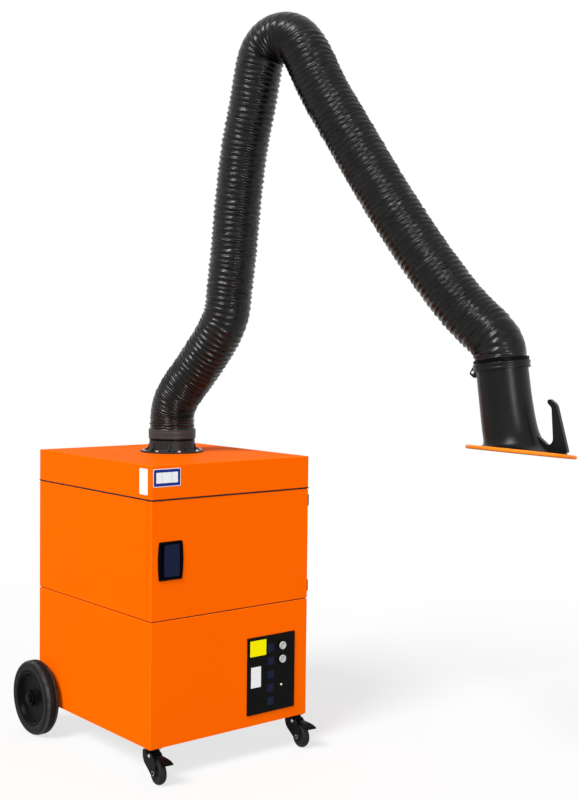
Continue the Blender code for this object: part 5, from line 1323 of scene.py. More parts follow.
@dataclass
class Heads:
    """Hexagon heads on washers, set along a body by Geometry Nodes."""

    across: float = 1.0  # radius of a head's corners, as a share of its size; the others are shares too
    height: float = 0.62  # height of a head
    washer: float = 1.45  # radius of the washer
    chamfer: float = 0.12  # height of the head's chamfer, and half the washer's thickness

    def group(self, sizes: dict[str, float]) -> bpy.types.NodeTree:
        """Build the node group that puts a head on each point, along the point's way.

        Args:
            sizes: The head's sizes by name.

        Returns:
            The group.
        """
        graph, given, leave = sized_group("bolt_heads", sizes)
        across, height, chamfer = given["Across"], given["Height"], given["Chamfer"]
        head = graph.node("GeometryNodeMeshCylinder", {
            "Vertices": 6, "Side Segments": 1, "Radius": across, "Depth": height,
        })
        crown = graph.node("GeometryNodeMeshCone", {
            "Vertices": 24, "Radius Top": graph.maths("MULTIPLY", across, 0.72),
            "Radius Bottom": graph.maths("MULTIPLY", across, 0.86), "Depth": chamfer,
        })
        plate = graph.node("GeometryNodeMeshCylinder", {
            "Vertices": 32, "Radius": given["Washer"], "Depth": graph.maths("MULTIPLY", chamfer, 2.0),
        })
        whole = graph.node("GeometryNodeJoinGeometry")
        graph.feed(whole, {0: plate.outputs[0]})
        for part, level in ((crown, height), (head, graph.maths("MULTIPLY", height, 0.5))):
            inputs = {"Geometry": part.outputs[0], "Translation": graph.xyz(Z=level)}
            graph.feed(whole, {0: graph.node("GeometryNodeTransform", inputs).outputs[0]})
        way = graph.stored("way", "FLOAT_VECTOR")
        spread = graph.node("GeometryNodeInstanceOnPoints", {
            "Points": graph.node("GeometryNodeMeshToPoints", {"Mesh": given["Geometry"]}).outputs[0],
            "Instance": whole.outputs[0], "Scale": graph.stored("size", "FLOAT"),
            "Rotation": graph.node("FunctionNodeAlignRotationToVector", {"Vector": way}, axis="Z").outputs[0],
        })
        return graph.deliver(leave, spread.outputs[0], given["Finish"])

    def build(
        self, name: str, heads: Sequence[Head], finish: Finish, body: Body | str, frame: Matrix = Matrix()
    ) -> None:
        """Set heads on a body.

        Args:
            name: The piece's name.
            heads: Each head's place, way and radius.
            finish: The heads' finish.
            body: The body that carries them.
            frame: The frame that places and ways are given in.
        """
        points = bpy.data.meshes.new(name)
        points.from_pydata([frame @ Vector(place) for place, _, _ in heads], [], [])
        points.attributes.new("way", "FLOAT_VECTOR", "POINT")
        points.attributes.new("size", "FLOAT", "POINT")
        for number, (_, way, size) in enumerate(heads):
            points.attributes["way"].data[number].vector = frame.to_3x3() @ Vector(way)
            points.attributes["size"].data[number].value = size
        sizes = {"Across": self.across, "Height": self.height, "Washer": self.washer, "Chamfer": self.chamfer}
        tree = bpy.data.node_groups.get("bolt_heads") or self.group(sizes)
        mesh = modified(points, "NODES", {**sizes, "Finish": finish.material()}, node_group=tree)
        add_piece(name, mesh, finish, body, crease=30)


@dataclass
class BackFittings:
    """Outlet grille, push handle and cable gland on the cabinet's back."""

    grille_width: float = 0.36  # width of the outlet grille
    grille_height: float = 0.18  # its height
    grille_z: float = 0.24  # height of its middle
    slats: int = 9  # number of its slats
    handle_z: float = 0.6415  # height of the push handle
    handle_half: float = 0.22  # half the distance between its feet
    handle_reach: float = 0.07  # how far it stands off
    tube: float = 0.0125  # radius of its tube
    gland: tuple[float, float] = (-0.23, 0.09)  # X and Z of the cable gland

    FACE: ClassVar = LAYOUT.half_depth + CLEAR
    FOOT: ClassVar = ((0.0, 0.0), (0.0235, 0.0), (0.024, 0.0008), (0.024, 0.003), (0.0228, 0.004), (0.0, 0.004))
    NUT: ClassVar = ((0.003, 0.0), (0.0145, 0.0), (0.0145, 0.0055), (0.0135, 0.0065), (0.003, 0.0065))
    CAP: ClassVar = (
        (0.003, 0.006), (0.0118, 0.006), (0.0118, 0.013), (0.0108, 0.018), (0.0085, 0.0212), (0.0055, 0.022),
        (0.0032, 0.0214), (0.003, 0.02),
    )

    def slat_rows(self) -> Shape:
        """Row of slanting slats, grown by Geometry Nodes.

        Returns:
            The slats.
        """
        inner = self.grille_height - 0.032
        pitch = inner / self.slats
        sizes = {
            "Count": self.slats, "Pitch": pitch, "Length": self.grille_width - 0.034, "Depth": 0.013,
            "Thickness": 0.0014, "Slope": -0.75,
        }
        graph, given, leave = sized_group("grille_slats", sizes)
        offset = graph.xyz(Z=given["Pitch"])
        row = graph.node("GeometryNodeMeshLine", {"Count": given["Count"], "Offset": offset})
        size = graph.xyz(X=given["Length"], Y=given["Depth"], Z=given["Thickness"])
        spread = graph.node("GeometryNodeInstanceOnPoints", {
            "Points": row.outputs[0], "Instance": graph.node("GeometryNodeMeshCube", {"Size": size}).outputs[0],
            "Rotation": graph.xyz(X=given["Slope"]),
        })
        tree = graph.deliver(leave, spread.outputs[0], given["Finish"])
        inputs = {**sizes, "Finish": Finishes.STEEL.material()}
        slats = bmesh.new()
        slats.from_mesh(modified(bpy.data.meshes.new("slats"), "NODES", inputs, node_group=tree))
        place = (0.0, self.FACE + 0.0012, self.grille_z - inner / 2 + pitch / 2)
        return soften(placed(slats, Matrix.Translation(place)), 0.0005)

    def grille(self) -> None:
        """Add the grille's frame and slats."""
        rows = (
            (0.0, 0.0), (0.0, 0.002), (0.0012, 0.003), (0.015, 0.0034), (0.0162, 0.0026), (0.0162, 0.0),
        )
        frame = loft([
            upright(outline_of(
                self.grille_width - 2 * inset, self.grille_height - 2 * inset, 0.004, (0.0, self.grille_z)
            ), self.FACE + rise)
            for inset, rise in rows
        ], True)
        add_piece("grille_frame", frame, Finishes.STEEL, Body.CABINET, ["exhaust_grille"], 30)
        add_piece("grille_slats", self.slat_rows(), Finishes.STEEL, Body.CABINET)

    def handle(self) -> None:
        """Add the push handle and its grip."""
        half, level, face, far = self.handle_half, self.handle_z, self.FACE, self.FACE + self.handle_reach
        corners = [(-half, face + 0.001), (-half, far, 0.035), (half, far, 0.035), (half, face + 0.001)]
        path = [Vector((x, y, level)) for x, y in rounded(corners, 12, closed=False)]
        feet = [placed(lathe(self.FOOT, 40), facing((x, face, level), BACKWARD)) for x in (-half, half)]
        bar = joined(sweep(path, self.tube, 28), *feet)
        add_piece("push_handle_bar", bar, Finishes.STEEL, Body.CABINET, ["push_handle"])
        held = [Vector((half * 0.62 * (step / 12 - 1), far, level)) for step in range(25)]
        grip = sweep(held, lambda share: 0.0152 - 0.0022 * (abs(2 * share - 1) ** 14), 28)
        add_piece("push_handle_grip", grip, Finishes.RUBBER, Body.CABINET)

    def build(self) -> None:
        """Add the grille, the handle, the gland and their screws."""
        self.grille()
        self.handle()
        x, z = self.gland
        gland = placed(joined(lathe(self.NUT, 6), lathe(self.CAP, 40)), facing((x, self.FACE, z), BACKWARD))
        add_piece("cable_gland_body", gland, Finishes.PLASTIC, Body.CABINET, ["cable_gland"])
        across, up = self.grille_width / 2 - 0.0075, self.grille_height / 2 - 0.0075
        screws = [
            ((x, self.FACE + 0.0034, self.grille_z + z), BACKWARD, 0.003)
            for x in (-across, across) for z in (-up, up)
        ]
        screws += [
            ((x + shift, self.FACE + 0.0042, self.handle_z), BACKWARD, 0.0026)
            for x in (-self.handle_half, self.handle_half) for shift in (-0.0185, 0.0185)
        ]
        Heads().build("back_screws", screws, Finishes.ZINC, Body.CABINET)


@dataclass
class RearWheels:
    """Large rear wheels: grooved tyres on dished rims with hub caps."""

    x: float = 0.35  # distance of a wheel's middle from the cabinet's middle
    y: float = 0.3  # Y of the axle
    z: float = 0.021  # height of the axle
    radius: float = 0.126  # radius of the tyre
    half: float = 0.025  # half its width
    groove: float = 0.0011  # half the width of a groove at the tread
    deep: float = 0.0014  # depth of a groove

    RIM: ClassVar = (
        (0.0095, 0.0245), (0.018, 0.025, 0.002), (0.0235, 0.024, 0.002), (0.0255, 0.012, 0.004),
        (0.04, 0.007, 0.006), (0.074, 0.0085, 0.006), (0.083, 0.0205, 0.004), (0.087, 0.024, 0.002),
        (0.0905, 0.0243, 0.001), (0.0922, 0.0228, 0.0008), (0.0924, 0.015),
    )
    CAP: ClassVar = (
        (0.0, 0.025), (0.0165, 0.025), (0.0165, 0.0285), (0.0158, 0.03), (0.014, 0.0308), (0.007, 0.0314),
        (0.0, 0.0316),
    )

    def tyre(self) -> Shape:
        """Tyre with round shoulders, sidewall beads and three grooves, its shoulders marked for a painted
        highlight.

        Returns:
            The tyre about its own axis.
        """
        radius, half = self.radius, self.half
        side = [
            (0.0928, 0.0215), (0.0945, 0.0236, 0.001), (0.1, 0.0247, 0.002), (0.103, 0.024, 0.001),
            (0.106, 0.0247, 0.001), (radius - 0.009, half, 0.004), (radius - 0.0012, half - 0.0095, 0.006),
            (radius, half - 0.016),
        ]
        profile = rounded(side, 5, closed=False)
        for middle in (0.0075, 0.0):
            profile += [(radius, middle + self.groove), (radius - self.deep, middle + 0.0006)]
        work = lathe(mirrored(profile), 112)
        mark = work.verts.layers.float.new("edge")
        # Shoulders marked for a lighter grey: a painted highlight.
        for vert in work.verts:
            if math.hypot(vert.co.x, vert.co.y) > radius - 0.006 and abs(vert.co.z) > half - 0.016:
                vert[mark] = 0.8
        return work

    def build(self) -> None:
        """Add both wheels."""
        for side, body in ((-1.0, Body.LEFT_WHEEL), (1.0, Body.RIGHT_WHEEL)):
            frame = facing((side * self.x, self.y, self.z), (side, 0.0, 0.0))
            word = body.value.removesuffix("_wheel")
            tyre, rim = self.tyre(), lathe(mirrored(rounded(self.RIM, 4, closed=False)), 96)
            add_piece(f"{word}_tyre_tread", placed(tyre, frame), Finishes.TYRE, body, [f"{word}_tyre"], 50)
            add_piece(f"{word}_rim_dish", placed(rim, frame), Finishes.PLASTIC, body, [f"{word}_rim"], 50)
            add_piece(f"{word}_hub_cap", placed(lathe(self.CAP, 48), frame), Finishes.PLASTIC, body)


@dataclass
class FrontCasters:
    """Swivel casters with hooded forks and brake pedals."""

    x: float = 0.284  # distance of a caster from the cabinet's middle
    y: float = -0.322  # Y of its swivel axis
    azimuth: float = -96.0  # direction in which it trails, in degrees
    trail: float = 0.042  # distance from the swivel axis to the axle
    axle: float = -0.0675  # height of the axle
    radius: float = 0.0375  # radius of the wheel
    half: float = 0.012  # half its width
    cheek: float = 0.0172  # distance of a fork cheek's outer side from the middle
    plate: float = 0.046  # side of the top plate

    CHEEK: ClassVar = (
        (-0.031, -0.0122, 0.004), (0.027, -0.0122, 0.006), (0.043, -0.027, 0.012), (0.056, -0.056, 0.014),
        (0.0545, -0.079, 0.012), (0.031, -0.082, 0.012), (0.002, -0.064, 0.012), (-0.023, -0.05, 0.012),
        (-0.032, -0.033, 0.01),
    )
    COVER: ClassVar = (
        (-0.031, -0.0122, 0.004), (0.025, -0.0122, 0.003), (0.0285, -0.0136), (0.028, -0.0149),
        (0.024, -0.0146, 0.003), (-0.028, -0.0146, 0.003), (-0.029, -0.032, 0.008), (-0.0165, -0.05),
        (-0.0185, -0.0515), (-0.032, -0.033, 0.01),
    )
    CROWN: ClassVar = (
        (0.0, -0.016), (0.0236, -0.016), (0.0242, -0.015), (0.0242, -0.0126), (0.0232, -0.0117), (0.0, -0.0117),
    )
    TOE: ClassVar = (
        (0.0185, -0.0222, 0.02, 0.005), (0.03, -0.02, 0.0215, 0.004), (0.048, -0.0185, 0.024, 0.0034),
        (0.064, -0.0195, 0.029, 0.0034), (0.076, -0.0215, 0.035, 0.0034), (0.087, -0.0243, 0.04, 0.003),
        (0.099, -0.0282, 0.041, 0.0024), (0.103, -0.0298, 0.038, 0.0014),
    )
    EAR: ClassVar = (
        (0.02, -0.031, 0.002), (0.0345, -0.027, 0.002), (0.0345, -0.0205, 0.002), (0.02, -0.0205, 0.002),
    )
    RACE: ClassVar = (
        (0.0, -0.003), (0.019, -0.003), (0.0206, -0.005), (0.021, -0.0095), (0.02, -0.0113), (0.0, -0.0113),
    )

    def fork(self) -> Shape:
        """Fork: two cheeks, the crown over them and the round hood behind the wheel.

        Returns:
            The fork.
        """
        cheeks = [
            soften(slab(rounded(self.CHEEK, 6), way * (self.cheek - 0.0026), way * self.cheek), 0.0008)
            for way in (-1.0, 1.0)
        ]
        wide = self.cheek - 0.0012
        hood = soften(slab(rounded(self.COVER, 4), -wide, wide), 0.0005)
        return joined(*cheeks, hood, lathe(self.CROWN, 40))

    def wheel(self) -> Shape:
        """Wheel with a round tread and a recessed hub.

        Returns:
            The wheel about its axle.
        """
        half = self.half
        face = [
            (0.0052, half), (0.011, half, 0.001), (0.013, half - 0.003, 0.001), (0.024, half - 0.003, 0.001),
            (0.0262, half - 0.0004, 0.001), (0.0325, half, 0.002), (self.radius - 0.0012, half - 0.0052, 0.004),
            (self.radius, 0.0),
        ]
        return lathe(mirrored(rounded(face, 5, closed=False)), 72)

    def pedal(self) -> Shape:
        """Brake pedal that flares to a sloping, ribbed toe plate.

        Returns:
            The pedal.
        """
        ears = [soften(slab(rounded(self.EAR), y, y + 0.0024), 0.0004) for y in (-0.0108, 0.0084)]
        slope = math.atan2(0.0282 - 0.0215, 0.099 - 0.076)
        turn = Matrix.Translation((0.074, 0.0, -0.0196)) @ Matrix.Rotation(slope, 4, "Y")
        ribs = [
            placed(soften(block((x, -0.013, 0.0), (x + 0.0025, 0.013, 0.0012)), 0.0003), turn)
            for x in (0.006 * row for row in range(4))
        ]
        return joined(strap(self.TOE), *ears, *ribs)

    def mount(self) -> Shape:
        """Square top plate with the swivel's race under it.

        Returns:
            The mount.
        """
        rows = ((0.0, 0.004, -0.0003), (0.0, 0.004, -0.0026), (0.001, 0.0035, -0.0033))
        plate = loft([
            [(x, y, level) for x, y in outline_of(self.plate - less, self.plate - less, corner)]
            for less, corner, level in rows
        ])
        return joined(plate, lathe(self.RACE, 40))

    def build(self) -> None:
        """Add both casters."""
        for side, name in ((-1.0, "caster_left"), (1.0, "caster_right")):
            frame = Matrix.Translation((side * self.x, self.y, 0.0)) @ turned(self.azimuth, "Z")
            hub = frame @ facing((self.trail, 0.0, self.axle), BACKWARD)
            for piece, shape, place, finish, body, node, crease in (
                ("hood", self.fork(), frame, Finishes.STEEL, f"{name}_swivel", "fork", 45),
                ("roller", self.wheel(), hub, Finishes.RUBBER, f"{name}_wheel", "wheel", 45),
                ("toe_plate", self.pedal(), frame, Finishes.STEEL, f"{name}_pedal", "pedal", 35),
                ("mount", self.mount(), frame, Finishes.STEEL, Body.CABINET, "plate", 35),
            ):
                add_piece(f"{name}_{piece}", placed(shape, place), finish, body, [f"{name}_{node}"], crease)
            for piece, finish, x, z, size in (
                ("bolts", Finishes.ZINC, 0.013, -0.0215, 0.0038),
                ("nuts", Finishes.STEEL, self.trail, self.axle, 0.0056),
            ):
                heads = [((x, way * (self.cheek + CLEAR), z), (0.0, way, 0.0), size) for way in (-1.0, 1.0)]
                Heads().build(f"{name}_{piece}", heads, finish, f"{name}_swivel", frame)


@dataclass
class ArmFlange:
    """Collar on the lid with its bolted flange and webs, and the clamp that holds the hose's foot."""

    radius: float = 0.108  # radius of the flange
    thickness: float = 0.006  # its thickness
    collar: float = 0.0775  # radius of the collar
    bore: float = 0.0712  # radius of its bore
    height: float = 0.04  # its height
    webs: int = 8  # number of webs
    web: float = 0.0021  # half the thickness of a web
    bolt_ring: float = 0.0975  # radius of the ring of bolts
    turn: float = -12.5  # how far webs and bolts are turned from the arm's direction, in degrees

    BAND: ClassVar = (
        (0.078, 0.047), (0.08, 0.047, 0.0012), (0.0804, 0.053, 0.003), (0.0795, 0.057, 0.003),
        (0.0804, 0.061, 0.003), (0.0806, 0.069, 0.003), (0.0797, 0.073, 0.003), (0.0808, 0.0765, 0.0014),
        (0.078, 0.0785, 0.001),
    )

    def angle(self, number: float) -> float:
        """Angle of a web; a bolt stands half way between two."""
        return math.tau * number / self.webs + math.radians(self.turn)

    def flange(self) -> Shape:
        """Flange, collar and webs in the arm's frame.

        Returns:
            The flange.
        """
        outer, thick, collar, top = self.radius, self.thickness, self.collar, self.height
        profile = rounded([
            (self.bore, CLEAR), (outer, CLEAR, 0.0006), (outer, thick, 0.0016),
            (collar + 0.0005, thick, 0.006), (collar, top, 0.0015), (self.bore, top, 0.001),
        ], 5)
        foot = self.bolt_ring + 0.0015
        web = rounded([
            (collar - 0.002, thick - 0.001), (foot, thick - 0.001), (foot, thick + 0.0012, 0.001),
            (collar + 0.006, thick + 0.0065, 0.012), (collar + 0.0015, thick + 0.024, 0.002),
            (collar - 0.002, thick + 0.024),
        ], 5)
        webs = [
            placed(soften(slab(web, -self.web, self.web), 0.0008), Matrix.Rotation(self.angle(number), 4, "Z"))
            for number in range(self.webs)
        ]
        return joined(lathe(profile, 96), *webs)

    def build(self) -> None:
        """Add the flange, its bolts and the hose clamp."""
        frame = LAYOUT.arm_frame()
        casting = placed(self.flange(), frame)
        add_piece("arm_flange_casting", casting, Finishes.FLANGE, Body.CABINET, ["arm_flange"], 40)
        angles = [self.angle(number + 0.5) for number in range(self.webs)]
        ring, level = self.bolt_ring, self.thickness + 0.0006
        bolts = [((ring * math.cos(a), ring * math.sin(a), level), (0.0, 0.0, 1.0), 0.0052) for a in angles]
        Heads().build("arm_flange_bolts", bolts, Finishes.ZINC, Body.CABINET, frame)
        lug = soften(block((-0.006, 0.079, 0.062), (0.006, 0.09, 0.0745)), 0.0012)
        clamp = placed(joined(lathe(rounded(self.BAND, 4), 96), lug), frame)
        add_piece("hose_clamp_band", clamp, Finishes.CUFF, Body.TURNTABLE, ["hose_clamp"], 40)
        head = ((0.0064, 0.0855, 0.0683), (1.0, 0.0, 0.0), 0.0028)
        Heads().build("hose_clamp_screw", [head], Finishes.ZINC, Body.TURNTABLE, frame)


@dataclass
class Hose:
    """Ribbed fabric hose that follows the arm, grown by Geometry Nodes."""

    radius: float = 0.0785  # radius over the ribs
    root: float = 0.93  # radius between the ribs as a share of that
    pitch: float = 0.0173  # distance between the ribs
    sides: int = 56  # sides of a section
    rings: int = 9  # sections per rib
    cuff: float = 0.03  # length of the smooth cuff at the foot
    tail: float = 0.014  # length of the smooth end at the hood
    sharpness: float = 1.4  # power that draws the ribs' crests narrow
    sagging: float = 0.045  # depth of the fabric's folds between the ribs, as a share of the radius
    wavering: float = 0.01  # swing of the radius along the hose, as a share of it

    KNOTS: ClassVar = (
        (0.0, 0.0466), (0.0, 0.0853), (0.0, 0.135), (0.014, 0.175), (0.052, 0.225), (0.108, 0.287),
        (0.226, 0.4487), (0.2437, 0.5516), (0.2589, 0.6686), (0.2748, 0.8236), (0.2992, 1.0033), (0.3306, 1.1388),
        (0.3562, 1.2658), (0.3698, 1.303), (0.3962, 1.3298), (0.4302, 1.3438), (0.4664, 1.3432), (0.4998, 1.3285),
        (0.5262, 1.3014), (0.607, 1.158), (0.7189, 0.989), (0.8026, 0.8638), (0.8926, 0.7372), (0.9853, 0.6153),
        (1.0847, 0.4977), (1.1247, 0.458), (1.2003, 0.3922), (1.2105, 0.3774), (1.2177, 0.361), (1.2202, 0.345),
        (1.2215, 0.33), (1.2246, 0.3123),
    )
    STRETCHES: ClassVar = (
        ("hose_shoulder_bend", 0.0, 0.552), ("hose_lower_arm", 0.552, 1.1875),
        ("hose_elbow_bend", 1.1875, 1.8796), ("hose_forearm", 1.8796, 2.5306), ("hose_wrist_bend", 2.5306, 2.8),
    )
    RIDES: ClassVar = {"hose_lower_arm": Body.LOWER_ARM, "hose_forearm": Body.FOREARM}
    BENDS: ClassVar = {
        "hose_shoulder_bend": (Body.TURNTABLE, Body.LOWER_ARM, (0.0, 0.0, 0.1), (0.0, 0.0, 0.51)),
        "hose_elbow_bend": (Body.LOWER_ARM, Body.FOREARM, (0.3281, 0.0, 1.3215), (0.4672, 0.0, 1.3799)),
        "hose_wrist_bend": (Body.FOREARM, Body.WRIST, (1.2, 0.0, 0.412), (1.2, 0.0, 0.347)),
    }

    @staticmethod
    def rib(graph: Graph, given: dict[str, Socket], wrap: Socket, station: Socket, around: Socket) -> Socket:
        """Height of the ribs, which run round in a wandering spiral and double near the foot.

        Args:
            graph: The hose's graph.
            given: Its inputs.
            wrap: Place on the hose, as a spiral coordinate.
            station: Distance along the hose.
            around: Share of the way round it.

        Returns:
            The height, from 0 to 1.
        """
        maths = graph.maths
        wander = maths("SUBTRACT", graph.streaks(wrap, (1.3, 1.3, 0.45), 2.0), 0.5)
        turns = maths("DIVIDE", station, given["Pitch"])
        phase = maths("MULTIPLY_ADD", wander, 0.85, maths("SUBTRACT", turns, around))
        single, double = (
            maths("MULTIPLY_ADD", maths("COSINE", maths("MULTIPLY", phase, beats * math.tau)), 0.5, 0.5)
            for beats in (1.0, 2.0)
        )
        wave = graph.mix(graph.span(station, 0.24, 0.36, 0.75, 0.0), single, double)
        uneven = graph.span(graph.streaks(wrap, (2.2, 2.2, 0.8)), 0.35, 0.65, 0.6, 1.0)
        return maths("MULTIPLY", maths("POWER", wave, given["Sharpness"]), uneven)

    def group(self, sizes: dict[str, object]) -> bpy.types.NodeTree:
        """Build the node group that turns a stretch of the route into ribbed fabric.

        Args:
            sizes: The stretch's sizes by name.

        Returns:
            The group.
        """
        graph, given, leave = sized_group("ribbed_hose", sizes)
        maths, vector = graph.maths, graph.vector
        curve = graph.node("GeometryNodeMeshToCurve", {"Mesh": given["Geometry"]}).outputs[0]
        columns = maths("ADD", given["Sides"], 1.0)
        grid = graph.node("GeometryNodeMeshGrid", {
            "Size X": 1.0, "Size Y": 1.0, "Vertices X": columns, "Vertices Y": given["Rings"],
        }).outputs[0]
        flat = graph.node("ShaderNodeSeparateXYZ", {0: graph.node("GeometryNodeInputPosition").outputs[0]})
        around = maths("ADD", flat.outputs[0], 0.5)
        station = maths("MULTIPLY_ADD", maths("ADD", flat.outputs[1], 0.5), given["Length"], given["Start"])
        angle = maths("MULTIPLY", around, math.tau)
        cosine, sine = maths("COSINE", angle), maths("SINE", angle)
        wrap = graph.xyz(X=cosine, Y=sine, Z=maths("DIVIDE", station, given["Pitch"]))

        left = maths("SUBTRACT", given["Total"], station)
        begun = graph.span(maths("SUBTRACT", station, given["Cuff"]), -0.004, 0.008, 0.0, 1.0)
        ended = graph.span(maths("SUBTRACT", left, given["Tail"]), -0.002, 0.006, 0.0, 1.0)
        ribbed = maths("MULTIPLY", begun, ended)

        point, ahead, behind = (
            graph.node("GeometryNodeSampleCurve", {"Curves": curve, "Length": reach}, mode="LENGTH")
            for reach in (station, *(maths(sum_of, station, given["Pitch"]) for sum_of in ("ADD", "SUBTRACT")))
        )
        inward = vector("CROSS_PRODUCT", point.outputs["Tangent"], given["Across"])
        way = vector("ADD", vector("SCALE", inward, cosine), vector("SCALE", given["Across"], sine))
        change = vector("SUBTRACT", ahead.outputs["Tangent"], behind.outputs["Tangent"])
        slender = maths("DIVIDE", given["Radius"], given["Pitch"])
        stretch = maths("MULTIPLY", vector("DOT_PRODUCT", change, way), maths("MULTIPLY", slender, -0.5))

        rib = self.rib(graph, given, wrap, station, around)
        rib = maths("MULTIPLY", rib, graph.span(stretch, 0.05, 0.55, 1.0, 0.12))
        folds = graph.streaks(wrap, (2.6, 2.6, 2.0), 3.0)
        sag = maths("MULTIPLY", maths("SUBTRACT", 1.0, rib), maths("SUBTRACT", folds, 0.5))
        sag = maths("MULTIPLY", maths("MULTIPLY", sag, given["Sagging"]), maths("ADD", ribbed, 0.25))
        waver = maths("SUBTRACT", graph.streaks(wrap, (0.9, 0.9, 0.12)), 0.5)
        level = graph.mix(ribbed, graph.span(left, 0.0, 0.04, 1.26, 0.8), rib)
        share = maths("MULTIPLY_ADD", level, maths("SUBTRACT", 1.0, given["Root"]), given["Root"])
        share = maths("ADD", maths("ADD", share, sag), maths("MULTIPLY", waver, given["Wavering"]))
        size = maths("MULTIPLY", share, given["Radius"])
        place = vector("ADD", point.outputs["Position"], vector("SCALE", way, size))

        kept = grid
        for name, kind, value in (
            ("crest", "FLOAT", maths("MULTIPLY", rib, ribbed)), ("wrap", "FLOAT_VECTOR", wrap),
            ("place", "FLOAT_VECTOR", place),
        ):
            inputs = {"Geometry": kept, "Name": name, "Value": value}
            store = graph.node("GeometryNodeStoreNamedAttribute", inputs, data_type=kind, domain="POINT")
            kept = store.outputs[0]
        moved = {"Geometry": kept, "Position": graph.stored("place", "FLOAT_VECTOR")}
        bent = graph.node("GeometryNodeSetPosition", moved).outputs[0]
        merged = graph.node("GeometryNodeMergeByDistance", {"Geometry": bent, "Distance": MERGE})
        return graph.deliver(leave, merged.outputs[0], given["Finish"])

    def build(self) -> None:
        """Grow the five stretches and tie the two straight ones to the arm's bodies."""
        frame = LAYOUT.arm_frame()
        knots = [Vector((reach, 0.0, height)) for reach, height in self.KNOTS]
        line = [frame @ place for place in spline(knots, 40)]
        total = sum((two - one).length for one, two in zip(line, line[1:]))
        for name, start, end in self.STRETCHES:
            route = bpy.data.meshes.new(name)
            route.from_pydata(line, [(n, n + 1) for n in range(len(line) - 1)], [])
            length = min(end, total) - start
            sizes = {
                "Start": start, "Length": length, "Total": total, "Sides": self.sides,
                "Rings": int(length / self.pitch * self.rings) + 1, "Radius": self.radius, "Root": self.root,
                "Pitch": self.pitch, "Cuff": self.cuff, "Tail": self.tail, "Sharpness": self.sharpness,
                "Sagging": self.sagging, "Wavering": self.wavering,
                "Across": tuple(frame.to_3x3() @ Vector(BACKWARD)),
            }
            tree = bpy.data.node_groups.get("ribbed_hose") or self.group(sizes)
            mesh = modified(route, "NODES", {**sizes, "Finish": Finishes.HOSE.material()}, node_group=tree)
            mesh.attributes.remove(mesh.attributes["place"])
            mesh.shade_smooth()
            middle = sum((vert.co for vert in mesh.vertices[: self.sides]), Vector()) / self.sides
            face = mesh.polygons[0]
            if face.normal.dot(face.center - middle) < 0:
                mesh.flip_normals()
            piece = add_piece(f"{name}_fabric", mesh, Finishes.HOSE, self.RIDES.get(name, ""), [name], 0)
            if name in self.BENDS:
                one, two, start, end = self.BENDS[name]
                start, end = (tuple(frame @ Vector(place)) for place in (start, end))
                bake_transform(piece)
                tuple(start)
                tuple(end)


